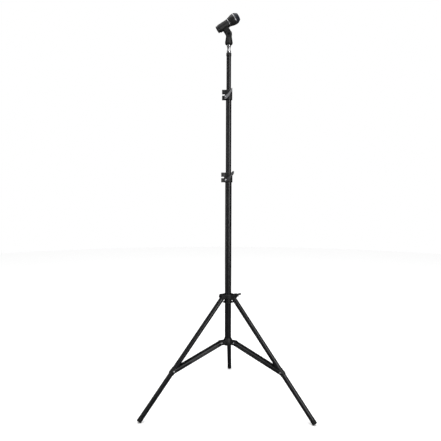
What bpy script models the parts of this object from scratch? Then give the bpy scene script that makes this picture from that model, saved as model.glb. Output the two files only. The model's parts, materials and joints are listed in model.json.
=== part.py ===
"""Short microphone in a swivel clip, on a three-section light stand with three folding legs.

Metres, +Z up, the floor at z = 0. The column stands at COLUMN_Y so that the object's plan is
centred on the origin: one leg points to +Y, and the other two point 120 degrees to each side.
Every moving group hangs from an empty on its own joint axis.
"""

import math

import bmesh
import bpy
from mathutils import Matrix, Vector

# ---------------------------------------------------------------- driving dimensions
COLUMN_Y = -0.0940  # the column's axis, so that the plan's centre is at the origin
GAP = 0.0003  # between touching pieces

# Telescopic column: outer radius, wall, bottom and top of each tube
LOWER_TUBE = (0.0130, 0.0012, 0.2451, 0.9326)
MIDDLE_TUBE = (0.0111, 0.00115, 0.6351, 1.2624)
TOP_TUBE = (0.00925, 0.0011, 0.8451, 1.4148)

# Section locks: bottom, outer tube radius, inner tube radius, how far the ears reach from the
# column's axis, and degrees about the column that the slit is turned from -X
LOWER_LOCK = (0.9070, 0.0130, 0.0111, 0.0286, 18.0)
UPPER_LOCK = (1.2368, 0.0111, 0.00925, 0.0266, 4.0)
LOCK_HEIGHT, LOCK_WALL = 0.0400, 0.0034
EAR_DEPTH = 0.0065  # each side of the slit
EAR_SLOT = (0.0177, 0.0214)  # heights of the level slot that parts the ears
BOLT_HEIGHT = 0.0098
YOKE_RADIUS, YOKE_PIN = 0.0046, 0.0015
YOKE_HALF, YOKE_SLOT_HALF = 0.0070, 0.0025  # half heights of the yoke and of the slot for the eye
SLIT_HALF = 0.0008
LOCK_SEAT, LOCK_LIP = 0.0144, 0.0030  # depth of the sleeve's seat and of the lip over it
BOLT_RADIUS, BOLT_HOLE, BOLT_HEAD = 0.0020, 0.0023, 0.0038  # lock and tilt bolts
LEVER_HALF, LEVER_EASE = 0.0015, 0.0006  # half thickness and eased edge of the lever's arm
# End of each lever arm: angle about the column, distance outside the collar, lower, upper height
LEVER_TIPS = {
    "lower_lock": [(288, 0.0050, 0.0235, 0.0395), (297, 0.0070, 0.0275, 0.0442),
                   (303, 0.0088, 0.0312, 0.0456), (308, 0.0102, 0.0350, 0.0458)],
    "upper_lock": [(288, 0.0050, 0.0230, 0.0375), (297, 0.0068, 0.0285, 0.0432),
                   (304, 0.0092, 0.0330, 0.0462)],
}

# Leg linkage, in a leg's own vertical plane: distance from the column's axis, and height
LEG_AZIMUTHS = {"rear": 0.0, "right": 120.0, "left": 240.0}  # degrees from +Y towards +X
LEG_PIVOT = (0.0285, 0.4423)
BRACE_INNER_PIVOT = (0.0340, 0.2531)
BRACE_OUTER_PIVOT = (0.2430, 0.1725)
LEG_AXIS_INSET = 0.00475  # the leg tube's axis lies this far inside its pivot
LEG_RADIUS, LEG_WALL = 0.0095, 0.0011
FOOT_END_HEIGHT = 0.0040  # centre of the foot plug's end face above the floor
FOOT_HEAD = 0.0160  # length of the plug's head below the tube's end

# Collars
COLLAR_BOTTOM, COLLAR_HEIGHT, COLLAR_BLOCK = 0.4149, 0.0373, 0.0199
LOWER_COLLAR_BOTTOM = 0.2402
CHEEK_GAP, CHEEK_THICKNESS = 0.0200, 0.0030
KNOB_AZIMUTH, KNOB_HEIGHT, KNOB_FACE = 60.0, 0.4425, 0.0291
KNOB_TURN = 60.0  # degrees about the stud that the wings are turned from upright
SHOE_END, SHOE_TRAVEL = 0.0191, 0.0015
SHOE_RADIUS, STUD_RADIUS, STUD_TIP = 0.0040, 0.0030, 0.0130
HUB_BORE_END = 0.0133
WING_HALF = 0.0033  # half thickness of the knob's wings
PIVOT_PIN = 0.0030  # radius of the pin at each leg's top
LOWER_COLLAR_HEIGHT, LUG_REACH = 0.0298, 0.0082  # the bell, and its lugs below their pivots

# Braces: folded steel channel, open underneath
BRACE_WIDTH, BRACE_DEPTH, BRACE_SHEET = 0.0256, 0.0140, 0.0015
LUG_WIDTH = 0.0218
RIVET_RADIUS, RIVET_HOLE = 0.0025, 0.0028

# Clip and microphone
SPIGOT_BOTTOM, SPIGOT_TOP = 1.4233, 1.4548
CLIP_PIVOT_HEIGHT = 1.4969
CLIP_ARM = 0.0125  # half width of the clip's arm, and radius of its knuckle
FORK_HALF, TONGUE_HALF = 0.0092, 0.0039  # half thicknesses across the fork and its tongue
BLOCK_RELIEF = 0.0042  # the cradle's block stops this far inside the arm, to clear the fork
MIC_TILT = 32.4  # degrees above the horizontal, towards +X
MIC_RISE = 0.0387  # the microphone's axis above the tilt pivot
MIC_REAR = -0.0301  # the microphone's rear end along its axis, from the tilt pivot
MIC_LENGTH = 0.0990
HANDLE_RADIUS, HEAD_RADIUS, FACE_RADIUS = 0.0138, 0.0219, 0.0142
HANDLE_END, FLARE_END, RING_END = 0.0507, 0.0785, 0.0828  # along the microphone, from its rear
MIC_WALL = 0.0015
CAPSULE_RADIUS, PIN_CIRCLE, PIN_RADIUS = 0.0115, 0.0058, 0.0012
TILT_HEAD = 0.0046  # radius of the tilt bolt's head and nut

LARGE, MEDIUM, SMALL = 24, 20, 12  # sides of round pieces, by size

COLUMN = Matrix.Translation((0.0, COLUMN_Y, 0.0))


# ---------------------------------------------------------------- scene and materials
def empty_scene():
    for obj in list(bpy.data.objects):
        bpy.data.objects.remove(obj, do_unlink=True)
    for collection in list(bpy.data.collections):
        bpy.data.collections.remove(collection)


def make_collection(name):
    collection = bpy.data.collections.new(name)
    bpy.context.scene.collection.children.link(collection)
    return collection


def make_material(name, colour, roughness, metallic=0.0):
    material = bpy.data.materials.new(name)
    material.use_nodes = True
    shader = material.node_tree.nodes["Principled BSDF"]
    shader.inputs["Base Color"].default_value = (*colour, 1.0)
    shader.inputs["Roughness"].default_value = roughness
    shader.inputs["Metallic"].default_value = metallic
    return material


empty_scene()
PARTS = make_collection("microphone_stand")
WORKSHOP = make_collection("cutters")

BLACK_TUBE = make_material("black_tube", (0.018, 0.018, 0.020), 0.38)
BLACK_PLASTIC = make_material("black_plastic", (0.015, 0.015, 0.016), 0.50)
BLACK_STEEL = make_material("black_steel", (0.020, 0.020, 0.022), 0.35, 0.3)
BLACK_RUBBER = make_material("black_rubber", (0.012, 0.012, 0.012), 0.75)
GREY_PLASTIC = make_material("grey_plastic", (0.080, 0.080, 0.085), 0.50)
BRIGHT_STEEL = make_material("bright_steel", (0.62, 0.62, 0.64), 0.25, 1.0)
BRASS = make_material("brass", (0.60, 0.45, 0.20), 0.30, 1.0)
GREY_RING = make_material("grey_ring", (0.45, 0.45, 0.47), 0.35, 0.8)
GRILLE = make_material("grille", (0.030, 0.033, 0.042), 0.45, 0.6)
FOAM = make_material("foam", (0.020, 0.020, 0.020), 0.95)


# ---------------------------------------------------------------- shapes
def as_object(mesh):
    """A workshop object, kept out of the render until it becomes a part."""
    obj = bpy.data.objects.new("shape", mesh)
    obj.hide_render = True
    obj.display_type = "WIRE"
    WORKSHOP.objects.link(obj)
    return obj


def from_bmesh(shape):
    mesh = bpy.data.meshes.new("shape")
    shape.to_mesh(mesh)
    shape.free()
    return as_object(mesh)


def baked(obj, weld=1e-6):
    """The object with its modifiers applied, as a plain closed mesh."""
    bpy.context.view_layer.update()
    graph = bpy.context.evaluated_depsgraph_get()
    mesh = bpy.data.meshes.new_from_object(obj.evaluated_get(graph))
    mesh.transform(obj.matrix_world)
    bpy.data.objects.remove(obj, do_unlink=True)
    shape = bmesh.new()
    shape.from_mesh(mesh)
    bmesh.ops.remove_doubles(shape, verts=shape.verts, dist=weld)
    bpy.data.meshes.remove(mesh)
    return from_bmesh(shape)


def box(low, high, bevel=0.0):
    """A box between two corners, with its edges bevelled."""
    shape = bmesh.new()
    bmesh.ops.create_cube(shape, size=1.0)
    size = Vector(high) - Vector(low)
    middle = (Vector(high) + Vector(low)) / 2
    bmesh.ops.transform(
        shape, matrix=Matrix.Translation(middle) @ Matrix.Diagonal((*size, 1.0)), verts=shape.verts
    )
    if bevel:
        bmesh.ops.bevel(shape, geom=shape.edges, offset=bevel, segments=1, affect="EDGES")
    return from_bmesh(shape)


def rod(radius, start, end, sides=SMALL):
    """A cylinder between two points."""
    start, end = Vector(start), Vector(end)
    shape = bmesh.new()
    turn = Vector((0, 0, 1)).rotation_difference(end - start).to_matrix().to_4x4()
    bmesh.ops.create_cone(
        shape,
        cap_ends=True,
        segments=sides,
        radius1=radius,
        radius2=radius,
        depth=(end - start).length,
        matrix=Matrix.Translation((start + end) / 2) @ turn,
    )
    return from_bmesh(shape)


def turned(profile, sides=LARGE, closed=False):
    """A profile of (radius, height) turned about Z: it runs down the outer side, top to bottom."""
    mesh = bpy.data.meshes.new("profile")
    edges = [(i, i + 1) for i in range(len(profile) - 1)]
    if closed:
        edges.append((len(profile) - 1, 0))
    mesh.from_pydata([(radius, 0.0, height) for radius, height in profile], edges, [])
    obj = as_object(mesh)
    screw = obj.modifiers.new("turn", "SCREW")
    screw.steps = screw.render_steps = sides
    screw.use_merge_vertices = True
    screw.merge_threshold = 1e-5
    return baked(obj)


def ring(outer, inner, bottom, top, sides=LARGE, chamfer=0.0):
    """A tube or ring about Z, its outer edges chamfered."""
    profile = [(outer - chamfer, top), (outer, top - chamfer), (outer, bottom + chamfer)]
    profile += [(outer - chamfer, bottom), (inner, bottom), (inner, top)]
    if not chamfer:
        profile = [(outer, top), (outer, bottom), (inner, bottom), (inner, top)]
    return turned(profile, sides, closed=True)


def plate(outline, low, high):
    """A flat outline in the XZ plane, extruded along Y from low to high."""
    curve = bpy.data.curves.new("outline", "CURVE")
    curve.dimensions = "2D"
    curve.fill_mode = "BOTH"
    curve.extrude = (high - low) / 2
    spline = curve.splines.new("POLY")
    spline.points.add(len(outline) - 1)
    for point, (x, z) in zip(spline.points, outline):
        point.co = (x, z, 0.0, 1.0)
    spline.use_cyclic_u = True
    obj = bpy.data.objects.new("outline", curve)
    WORKSHOP.objects.link(obj)
    obj.matrix_world = Matrix.Translation((0, (low + high) / 2, 0)) @ Matrix.Rotation(
        math.radians(90), 4, "X"
    )
    shape = baked(obj, weld=1e-5)
    bpy.data.curves.remove(curve)
    return shape


def arc(centre, radius, start, end, steps=8):
    """Points of (x, z) along an arc, angles in degrees from +X towards +Z."""
    angles = [math.radians(start + (end - start) * i / steps) for i in range(steps + 1)]
    return [(centre[0] + radius * math.cos(a), centre[1] + radius * math.sin(a)) for a in angles]


def loft(sections):
    """A closed skin through rings of points, one ring after another."""
    shape = bmesh.new()
    rings = [[shape.verts.new(point) for point in section] for section in sections]
    for a, b in zip(rings, rings[1:]):
        for i in range(len(a)):
            j = (i + 1) % len(a)
            shape.faces.new((a[i], a[j], b[j], b[i]))
    shape.faces.new(rings[0][::-1])
    shape.faces.new(rings[-1])
    bmesh.ops.recalc_face_normals(shape, faces=shape.faces)
    return from_bmesh(shape)


def combined(base, tools, operation):
    for tool in tools:
        boolean = base.modifiers.new(operation.lower(), "BOOLEAN")
        boolean.operation = operation
        boolean.solver = "EXACT"
        boolean.object = tool
    shape = baked(base)
    for tool in tools:
        bpy.data.objects.remove(tool, do_unlink=True)
    return shape


def joined(base, *tools):
    return combined(base, tools, "UNION")


def cut(base, *tools):
    return combined(base, tools, "DIFFERENCE")


def moved(shape, matrix):
    shape.data.transform(matrix)
    return shape


# ---------------------------------------------------------------- placing
def axis_empty(name, matrix, parent=None):
    """An empty on a joint's axis. Its matrix is in its parent's space."""
    empty = bpy.data.objects.new(name, None)
    empty.empty_display_size = 0.02
    PARTS.objects.link(empty)
    empty.parent = parent
    empty.matrix_basis = matrix
    return empty


def add_part(name, shape, parent, material, matrix=None, smooth=35.0):
    """Names the shape and hangs it from its body's empty."""
    shape.name = name
    shape.data.name = name
    WORKSHOP.objects.unlink(shape)
    PARTS.objects.link(shape)
    shape.hide_render = False
    shape.display_type = "TEXTURED"
    shape.parent = parent
    shape.matrix_basis = matrix or Matrix()
    shape.data.materials.clear()
    shape.data.materials.append(material)
    shape.data.shade_smooth()
    shape.data.set_sharp_from_angle(angle=math.radians(smooth))
    return shape


def add_copy(name, source, parent, matrix=None):
    """Another object on the same mesh."""
    copy = bpy.data.objects.new(name, source.data)
    PARTS.objects.link(copy)
    copy.parent = parent
    copy.matrix_basis = matrix or Matrix()
    return copy


def radial(azimuth):
    """Column space turned so that +X points out at this azimuth (degrees from +Y towards +X)."""
    return Matrix.Rotation(math.radians(90.0 - azimuth), 4, "Z")


def along_x(matrix=None):
    """Turns a shape made about Z to lie along +X."""
    return (matrix or Matrix()) @ Matrix.Rotation(math.radians(90), 4, "Y")


# ---------------------------------------------------------------- column
def add_tube(name, tube, parent):
    radius, wall, bottom, top = tube
    return add_part(name, ring(radius, radius - wall, bottom, top), parent, BLACK_TUBE)


def add_guide(name, tube, outer_tube, parent):
    """Plastic bush on a tube's lower end, running inside the next tube down."""
    radius, wall, bottom, _ = tube
    running = outer_tube[0] - outer_tube[1] - GAP
    stem = radius - wall - GAP
    profile = [(stem, bottom + 0.012), (stem, bottom - GAP), (running, bottom - GAP)]
    profile += [(running, bottom - 0.010), (stem - 0.002, bottom - 0.010)]
    profile += [(stem - 0.002, bottom + 0.012)]
    add_part(name, turned(profile, closed=True), parent, BLACK_PLASTIC)


def add_lower_collar(parent):
    """Bell under the column with a lug for each brace."""
    bottom = LOWER_COLLAR_BOTTOM
    bore = LOWER_TUBE[0] + GAP
    top = bottom + LOWER_COLLAR_HEIGHT
    profile = [(0.0141, top), (0.0152, top - 0.0028), (0.0174, top - 0.0072)]
    profile += [(0.0198, top - 0.0139), (0.0198, bottom + 0.004), (0.0168, bottom)]
    profile += [(bore, bottom), (bore, top)]
    collar = turned(profile, closed=True)
    x, z = BRACE_INNER_PIVOT
    reach = LUG_REACH
    outline = [(0.0150, z - reach)] + arc((x, z), reach, -90, 90, 10) + [(0.0150, z + reach)]
    lugs = []
    for azimuth in LEG_AZIMUTHS.values():
        lug = plate(outline, -LUG_WIDTH / 2, LUG_WIDTH / 2)
        lugs.append(moved(lug, radial(azimuth)))
    collar = joined(collar, *lugs)
    holes = []
    for azimuth in LEG_AZIMUTHS.values():
        hole = rod(RIVET_HOLE, (x, -0.02, z), (x, 0.02, z))
        holes.append(moved(hole, radial(azimuth)))
    add_part("lower_collar", cut(collar, *holes), parent, BLACK_PLASTIC)

    inside = LOWER_TUBE[0] - LOWER_TUBE[1] - GAP
    tube_end = LOWER_TUBE[2]
    plug = [(0.0, tube_end + 0.014), (inside, tube_end + 0.014), (inside, tube_end - GAP)]
    plug += [(LOWER_TUBE[0], tube_end - GAP), (LOWER_TUBE[0], bottom + 0.001)]
    plug += [(LOWER_TUBE[0] - 0.002, bottom - 0.0005), (0.0, bottom - 0.0005)]
    add_part("column_end_plug", turned(plug), parent, BLACK_PLASTIC)


def lever_arm(wall, pin, tip):
    """The arm from its yoke round the collar's front, rising to a flared thumb tip.

    Each station: angle about the column, radius, lower and upper height. The pin is the origin.
    """
    stations = [
        (239, wall + 0.0042, 0.0032, 0.0182),
        (252, wall + 0.0040, 0.0068, 0.0216),
        (265, wall + 0.0040, 0.0118, 0.0258),
        (277, wall + 0.0042, 0.0172, 0.0310),
        *((angle, wall + away, low, high) for angle, away, low, high in tip),
    ]
    points = [Vector((-0.0022, -0.0031)), Vector((0.0024, -0.0031))]
    heights = [(0.0031, 0.0165), (0.0031, 0.0168)]
    for angle, radius, low, high in stations:
        turn = math.radians(angle)
        points.append(Vector((radius * math.cos(turn), radius * math.sin(turn))) - pin)
        heights.append((low, high))
    half, ease = LEVER_HALF, LEVER_EASE
    sections = []
    for i, (point, (low, high)) in enumerate(zip(points, heights)):
        run = (points[min(i + 1, len(points) - 1)] - points[max(i - 1, 0)]).normalized()
        side = Vector((-run.y, run.x)) * half
        corners = [(point + side, low), (point - side, low + ease)]
        corners += [(point - side, high - ease), (point + side, high)]
        sections.append([(corner.x, corner.y, z) for corner, z in corners])
    return loft(sections)


def add_lock(name, lock, parent):
    """Split clamp collar with slotted ears, its sleeve, cross bolt and cam lever.

    Local space: the column's axis is Z, the collar's bottom is z = 0, the slit is at -X, and
    the bolt runs along Y through the ears' lower half, just outside the tube.
    """
    bottom, outer_tube, inner_tube, reach, turn = lock
    frame = Matrix.Translation((0, 0, bottom)) @ Matrix.Rotation(math.radians(turn), 4, "Z")
    height = LOCK_HEIGHT
    wall = outer_tube + LOCK_WALL
    tube_end = height - LOCK_SEAT
    lip = height - LOCK_LIP
    sleeve_in, sleeve_out = inner_tube + 0.00025, outer_tube - 0.0001
    bolt_x, bolt_z = -(outer_tube + 0.0027), BOLT_HEIGHT
    pin = Vector((bolt_x, -(EAR_DEPTH + YOKE_RADIUS + 0.0005)))

    chamfer = 0.0014
    profile = [(wall - chamfer, height), (wall, height - chamfer), (wall, chamfer)]
    profile += [(wall - chamfer, 0.0), (outer_tube + GAP, 0.0), (outer_tube + GAP, tube_end)]
    profile += [(sleeve_out + GAP, tube_end), (sleeve_out + GAP, lip)]
    profile += [(inner_tube + 0.0005, lip), (inner_tube + 0.0005, height)]
    body = turned(profile, closed=True)
    ears = box(
        (-reach, -EAR_DEPTH, 0.0004), (-outer_tube - 0.0008, EAR_DEPTH, height - 0.0004), 0.0010
    )
    slot = box((-0.04, -0.02, EAR_SLOT[0]), (-wall - 0.0006, 0.02, EAR_SLOT[1]))
    slit = box((-0.04, -SLIT_HALF, -0.01), (-inner_tube, SLIT_HALF, height + 0.01))
    bolt_hole = rod(BOLT_HOLE, (bolt_x, -0.03, bolt_z), (bolt_x, 0.03, bolt_z))
    yoke_low, yoke_high = bolt_z - YOKE_HALF, bolt_z + YOKE_HALF
    yoke_room = rod(
        YOKE_RADIUS + 0.0004, (*pin, yoke_low - GAP), (*pin, yoke_high + GAP), MEDIUM
    )
    head_room = rod(0.0042, (bolt_x, EAR_DEPTH, bolt_z), (bolt_x, 0.03, bolt_z))
    body = cut(joined(body, ears), slot, slit, bolt_hole, yoke_room, head_room)
    add_part(f"{name}_body", body, parent, BLACK_PLASTIC, frame)

    sleeve = ring(sleeve_out, sleeve_in, tube_end + GAP, lip - GAP)
    add_part(f"{name}_sleeve", sleeve, parent, GREY_PLASTIC, frame)

    back = EAR_DEPTH + GAP
    shank = rod(BOLT_RADIUS, (bolt_x, pin.y, bolt_z), (bolt_x, back + 0.0020, bolt_z))
    head = rod(BOLT_HEAD, (bolt_x, back, bolt_z), (bolt_x, back + 0.0033, bolt_z), 6)
    eye = rod(0.0036, (bolt_x, pin.y, bolt_z - 0.0021), (bolt_x, pin.y, bolt_z + 0.0021))
    pin_hole = rod(YOKE_PIN + GAP, (bolt_x, pin.y, -0.01), (bolt_x, pin.y, 0.05))
    bolt = cut(joined(shank, head, eye), pin_hole)
    add_part(f"{name}_bolt", bolt, parent, BRIGHT_STEEL, frame)

    hinge_frame = frame @ Matrix.Translation((pin.x, pin.y, 0))
    hinge = axis_empty(f"{name}_lever_axis", hinge_frame, parent)
    shaft = rod(YOKE_PIN, (0, 0, yoke_low + 0.0005), (0, 0, yoke_high - 0.0005))
    add_part(f"{name}_pin", shaft, hinge, BRIGHT_STEEL)
    slot_low, slot_high = bolt_z - YOKE_SLOT_HALF, bolt_z + YOKE_SLOT_HALF
    yoke = [rod(YOKE_RADIUS, (0, 0, a), (0, 0, b))
            for a, b in ((yoke_low, slot_low), (slot_high, yoke_high))]
    eye_room = rod(0.0040, (0, 0, slot_low), (0, 0, slot_high), MEDIUM)
    hole = rod(YOKE_PIN + GAP, (0, 0, -0.01), (0, 0, 0.05))
    lever = cut(joined(lever_arm(wall, pin, LEVER_TIPS[name]), *yoke), eye_room, hole)
    add_part(f"{name}_lever", lever, hinge, GREY_PLASTIC)


# ---------------------------------------------------------------- sliding leg collar
def add_leg_collar(parent):
    bottom, height, block = COLLAR_BOTTOM, COLLAR_HEIGHT, COLLAR_BLOCK
    bore = LOWER_TUBE[0] + GAP
    sleeve = bore + 0.0014
    top, under = height - 0.0005, block + 0.0005  # the ring stays just inside the arms' faces
    profile = [(0.0215, top), (0.0230, top - 0.0015), (0.0230, under + 0.001), (0.0215, under)]
    profile += [(sleeve + 0.0006, under), (sleeve + 0.0006, 0.0055), (0.0205, 0.0050)]
    profile += [(0.0220, 0.0035), (0.0220, 0.0015), (0.0205, 0.0), (bore, 0.0), (bore, top)]
    collar = turned(profile, closed=True)
    x, z = LEG_PIVOT[0], LEG_PIVOT[1] - bottom
    knob_z = KNOB_HEIGHT - bottom
    boss = rod(0.0058, (0.0140, 0, knob_z), (0.0270, 0, knob_z))
    tools = [moved(boss, radial(KNOB_AZIMUTH))]

    inside, outside = CHEEK_GAP / 2, CHEEK_GAP / 2 + CHEEK_THICKNESS
    outline = [(0.0165, block), (x, block)] + arc((x, z), z - block, -84, 12, 8)
    outline += [(x + 0.0048, height - 0.0015), (x + 0.0030, height), (0.0165, height)]
    for azimuth in LEG_AZIMUTHS.values():
        arm = plate(outline, -outside, outside)
        heads = rod(0.0050, (x, -outside - 0.0016, z), (x, outside + 0.0016, z))
        tools.append(moved(joined(arm, heads), radial(azimuth)))
    collar = joined(collar, *tools)
    slots = []
    for azimuth in LEG_AZIMUTHS.values():
        slot = box((sleeve, -inside, -0.01), (0.05, inside, 0.05))
        slots.append(moved(slot, radial(azimuth)))
    collar = cut(collar, *slots)
    screw_hole = rod(STUD_RADIUS + GAP, (0.0, 0, knob_z), (0.05, 0, knob_z))
    pocket_end = SHOE_END + SHOE_TRAVEL + GAP
    shoe_pocket = rod(SHOE_RADIUS + GAP, (0.0, 0, knob_z), (pocket_end, 0, knob_z))
    collar = cut(
        collar, moved(screw_hole, radial(KNOB_AZIMUTH)), moved(shoe_pocket, radial(KNOB_AZIMUTH))
    )
    add_part("leg_collar", collar, parent, BLACK_PLASTIC)


def add_clamp_knob(parent):
    """Wing knob whose stud presses a shoe against the column."""
    frame = radial(KNOB_AZIMUTH)
    frame.translation = (0, 0, KNOB_HEIGHT - COLLAR_BOTTOM)
    slide = axis_empty("clamp_axis", frame, parent)
    face = LOWER_TUBE[0] + GAP
    add_part("clamp_shoe", rod(SHOE_RADIUS, (face, 0, 0), (SHOE_END, 0, 0)), slide, BRASS)
    screw = axis_empty("knob_axis", Matrix.Translation((KNOB_FACE, 0, 0)), slide)
    stud = rod(STUD_RADIUS, (SHOE_END + GAP - KNOB_FACE, 0, 0), (STUD_TIP, 0, 0))
    add_part("knob_stud", stud, screw, BRIGHT_STEEL)
    hub = turned(
        [(0.0, 0.0152), (0.0048, 0.0150), (0.0072, 0.0130), (0.0078, 0.0030), (0.0064, 0.0)]
        + [(STUD_RADIUS + GAP, 0.0), (STUD_RADIUS + GAP, HUB_BORE_END), (0.0, HUB_BORE_END)],
        SMALL,
    )
    hub = moved(hub, along_x())
    wing = [(0.0050, 0.0045), (0.0085, 0.0062), (0.0150, 0.0105), (0.0225, 0.0142)]
    wing += [(0.0255, 0.0134), (0.0262, 0.0102), (0.0228, 0.0062), (0.0178, 0.0028), (0.0145, 0.0)]
    outline = wing + [(x, -z) for x, z in reversed(wing[:-1])] + [(0.0050, 0.0)]
    wings = plate(outline, -WING_HALF, WING_HALF)
    stud_room = rod(STUD_RADIUS + GAP, (-0.001, 0, 0), (HUB_BORE_END, 0, 0))
    knob = cut(joined(hub, wings), stud_room)
    knob = moved(knob, Matrix.Rotation(math.radians(KNOB_TURN), 4, "X"))
    add_part("leg_knob", knob, screw, BLACK_PLASTIC)


# ---------------------------------------------------------------- legs and braces
def direction(start, end):
    """Length of the run between two plane points, and its angle in degrees above the horizontal."""
    x, z = end[0] - start[0], end[1] - start[1]
    return math.hypot(x, z), math.degrees(math.atan2(z, x))


BRACE_LENGTH, BRACE_SLOPE = direction(BRACE_INNER_PIVOT, BRACE_OUTER_PIVOT)
LEG_REACH, LEG_SLOPE = direction(LEG_PIVOT, BRACE_OUTER_PIVOT)
# The tube's axis is inset from the pivot, so it leans a little more than the pivots' line
LEG_LEAN = 90.0 + LEG_SLOPE + math.degrees(math.asin(LEG_AXIS_INSET / LEG_REACH))
BRACE_JOINT = math.sqrt(LEG_REACH**2 - LEG_AXIS_INSET**2)  # along the leg, below its pivot
_top_of_axis = LEG_PIVOT[1] - LEG_AXIS_INSET * math.sin(math.radians(LEG_LEAN))
LEG_LENGTH = (_top_of_axis - FOOT_END_HEIGHT) / math.cos(math.radians(LEG_LEAN))


def leg_shapes():
    """The pieces of one leg. Local space: the leg's pivot is the origin, the tube runs down
    -Z at x = -LEG_AXIS_INSET, and +X faces out."""
    tube_x = -LEG_AXIS_INSET
    shift = Matrix.Translation((tube_x, 0, 0))
    inside = LEG_RADIUS - LEG_WALL
    tube_top, tube_bottom = -0.0075, -(LEG_LENGTH - FOOT_HEAD)
    rivet_hole = rod(RIVET_HOLE, (tube_x, -0.02, -BRACE_JOINT), (tube_x, 0.02, -BRACE_JOINT))
    tube = cut(moved(ring(LEG_RADIUS, inside, tube_bottom, tube_top, MEDIUM), shift), rivet_hole)

    # End fitting: a plug in the tube and a knuckle that turns between the collar's cheeks
    plug = moved(rod(inside - GAP, (0, 0, tube_top - 0.022), (0, 0, tube_top + 0.001), MEDIUM), shift)
    half = CHEEK_GAP / 2 - 0.0006
    outline = arc((0, 0), 0.0072, 8, 190, 12)
    outline += [(tube_x - LEG_RADIUS + 0.0006, tube_top + 0.0030)]
    outline += [(tube_x - LEG_RADIUS + 0.0006, tube_top + GAP)]
    outline += [(tube_x + LEG_RADIUS - 0.0006, tube_top + GAP)]
    knuckle = plate(outline, -half, half)
    trim = moved(rod(LEG_RADIUS + 0.0004, (0, 0, -0.02), (0, 0, 0.02), MEDIUM), shift)
    flank = box((-0.02, -half, -0.0030), (0.02, half, 0.02))
    keep = joined(trim, flank)
    knuckle = combined(knuckle, [keep], "INTERSECT")
    fitting = joined(plug, knuckle)
    fitting = cut(fitting, rod(PIVOT_PIN + GAP, (0, -0.02, 0), (0, 0.02, 0)))
    pin = rod(PIVOT_PIN, (0, -half, 0), (0, half, 0))

    # Rubber plug, its head flush with the tube and its toe cut level to stand flat on the floor
    head, stem, end = LEG_RADIUS + 0.0002, inside - GAP, -LEG_LENGTH
    neck = tube_bottom - GAP
    foot = turned(
        [(0.0, neck + 0.020), (stem - 0.0008, neck + 0.020), (stem, neck + 0.0185), (stem, neck)]
        + [(head - 0.0006, neck), (head, neck - 0.0006), (head, end + 0.0008)]
        + [(head - 0.0008, end), (0.0, end)],
        MEDIUM,
    )
    toe = Matrix.Rotation(math.radians(-LEG_LEAN), 4, "Y")
    drop = Matrix.Translation((LEG_LENGTH * math.sin(math.radians(LEG_LEAN)), 0, -LEG_PIVOT[1]))
    floor = moved(box((-0.1, -0.1, -0.1), (0.1, 0.1, 0.0)), toe.inverted() @ drop)
    return tube, fitting, pin, cut(moved(foot, shift), floor)


def saddle_shape():
    """Sleeve round the leg that carries the brace, with a riveted tab on its outer side."""
    radius, length = LEG_RADIUS + GAP, 0.0270
    shift = Matrix.Translation((-LEG_AXIS_INSET, 0, -BRACE_JOINT))
    sleeve = ring(LUG_WIDTH / 2, radius, -length / 2, length / 2, MEDIUM, 0.0004)
    tab = box((LEG_RADIUS, -0.0032, -0.0105), (LUG_WIDTH / 2 + 0.0011, 0.0032, -0.0005), 0.0005)
    hollow = rod(radius, (0, 0, -0.03), (0, 0, 0.03), MEDIUM)
    sleeve = cut(joined(sleeve, tab), hollow, rod(RIVET_HOLE, (0, -0.02, 0), (0, 0.02, 0)))
    return moved(sleeve, shift)


def brace_shape():
    """Folded channel. Local space: the inner pivot is the origin, the outer one lies along +X,
    and the web is on top."""
    half, depth, sheet = BRACE_WIDTH / 2, BRACE_DEPTH / 2, BRACE_SHEET
    shoulder = 0.0035
    section = [(-half, -depth), (-half, depth - shoulder)]
    section += [(-half + shoulder * (1 - math.cos(a)), depth - shoulder + shoulder * math.sin(a))
                for a in (math.radians(30), math.radians(60))]
    section += [(-half + shoulder, depth), (half - shoulder, depth)]
    section += [(-y, z) for y, z in reversed(section[:4])]
    start, end = -depth, BRACE_LENGTH + depth
    outer = loft([[(x, y, z) for y, z in section] for x in (start, end)])
    room = box((start - 0.01, -half + sheet, -0.02), (end + 0.01, half - sheet, depth - sheet))
    inner_mouth = box((start - 0.01, -half + sheet, 0.0), (0.0145, half - sheet, 0.02))
    outer_mouth = box(
        (BRACE_LENGTH - 0.0400, -half + sheet, 0.0), (end + 0.01, half - sheet, 0.02)
    )
    channel = cut(outer, room, inner_mouth, outer_mouth)
    keep_outline = arc((0, 0), depth, 90, 270, 10) + arc((BRACE_LENGTH, 0), depth, -90, 90, 10)
    keep = plate(keep_outline, -0.02, 0.02)
    channel = combined(channel, [keep], "INTERSECT")
    holes = [rod(RIVET_HOLE, (x, -0.02, 0), (x, 0.02, 0)) for x in (0.0, BRACE_LENGTH)]
    return cut(channel, *holes)


def rivet_shape():
    """Rivet along Y with a domed head outside each flange of the channel."""
    half, head = BRACE_WIDTH / 2 + GAP, 0.0046
    profile = [(0.0, half + 0.0018), (0.0024, half + 0.0015), (head, half + 0.0004), (head, half)]
    profile += [(RIVET_RADIUS, half), (RIVET_RADIUS, -half), (head, -half)]
    profile += [(head, -half - 0.0004), (0.0024, -half - 0.0015), (0.0, -half - 0.0018)]
    return moved(turned(profile, SMALL), Matrix.Rotation(math.radians(90), 4, "X"))


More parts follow.
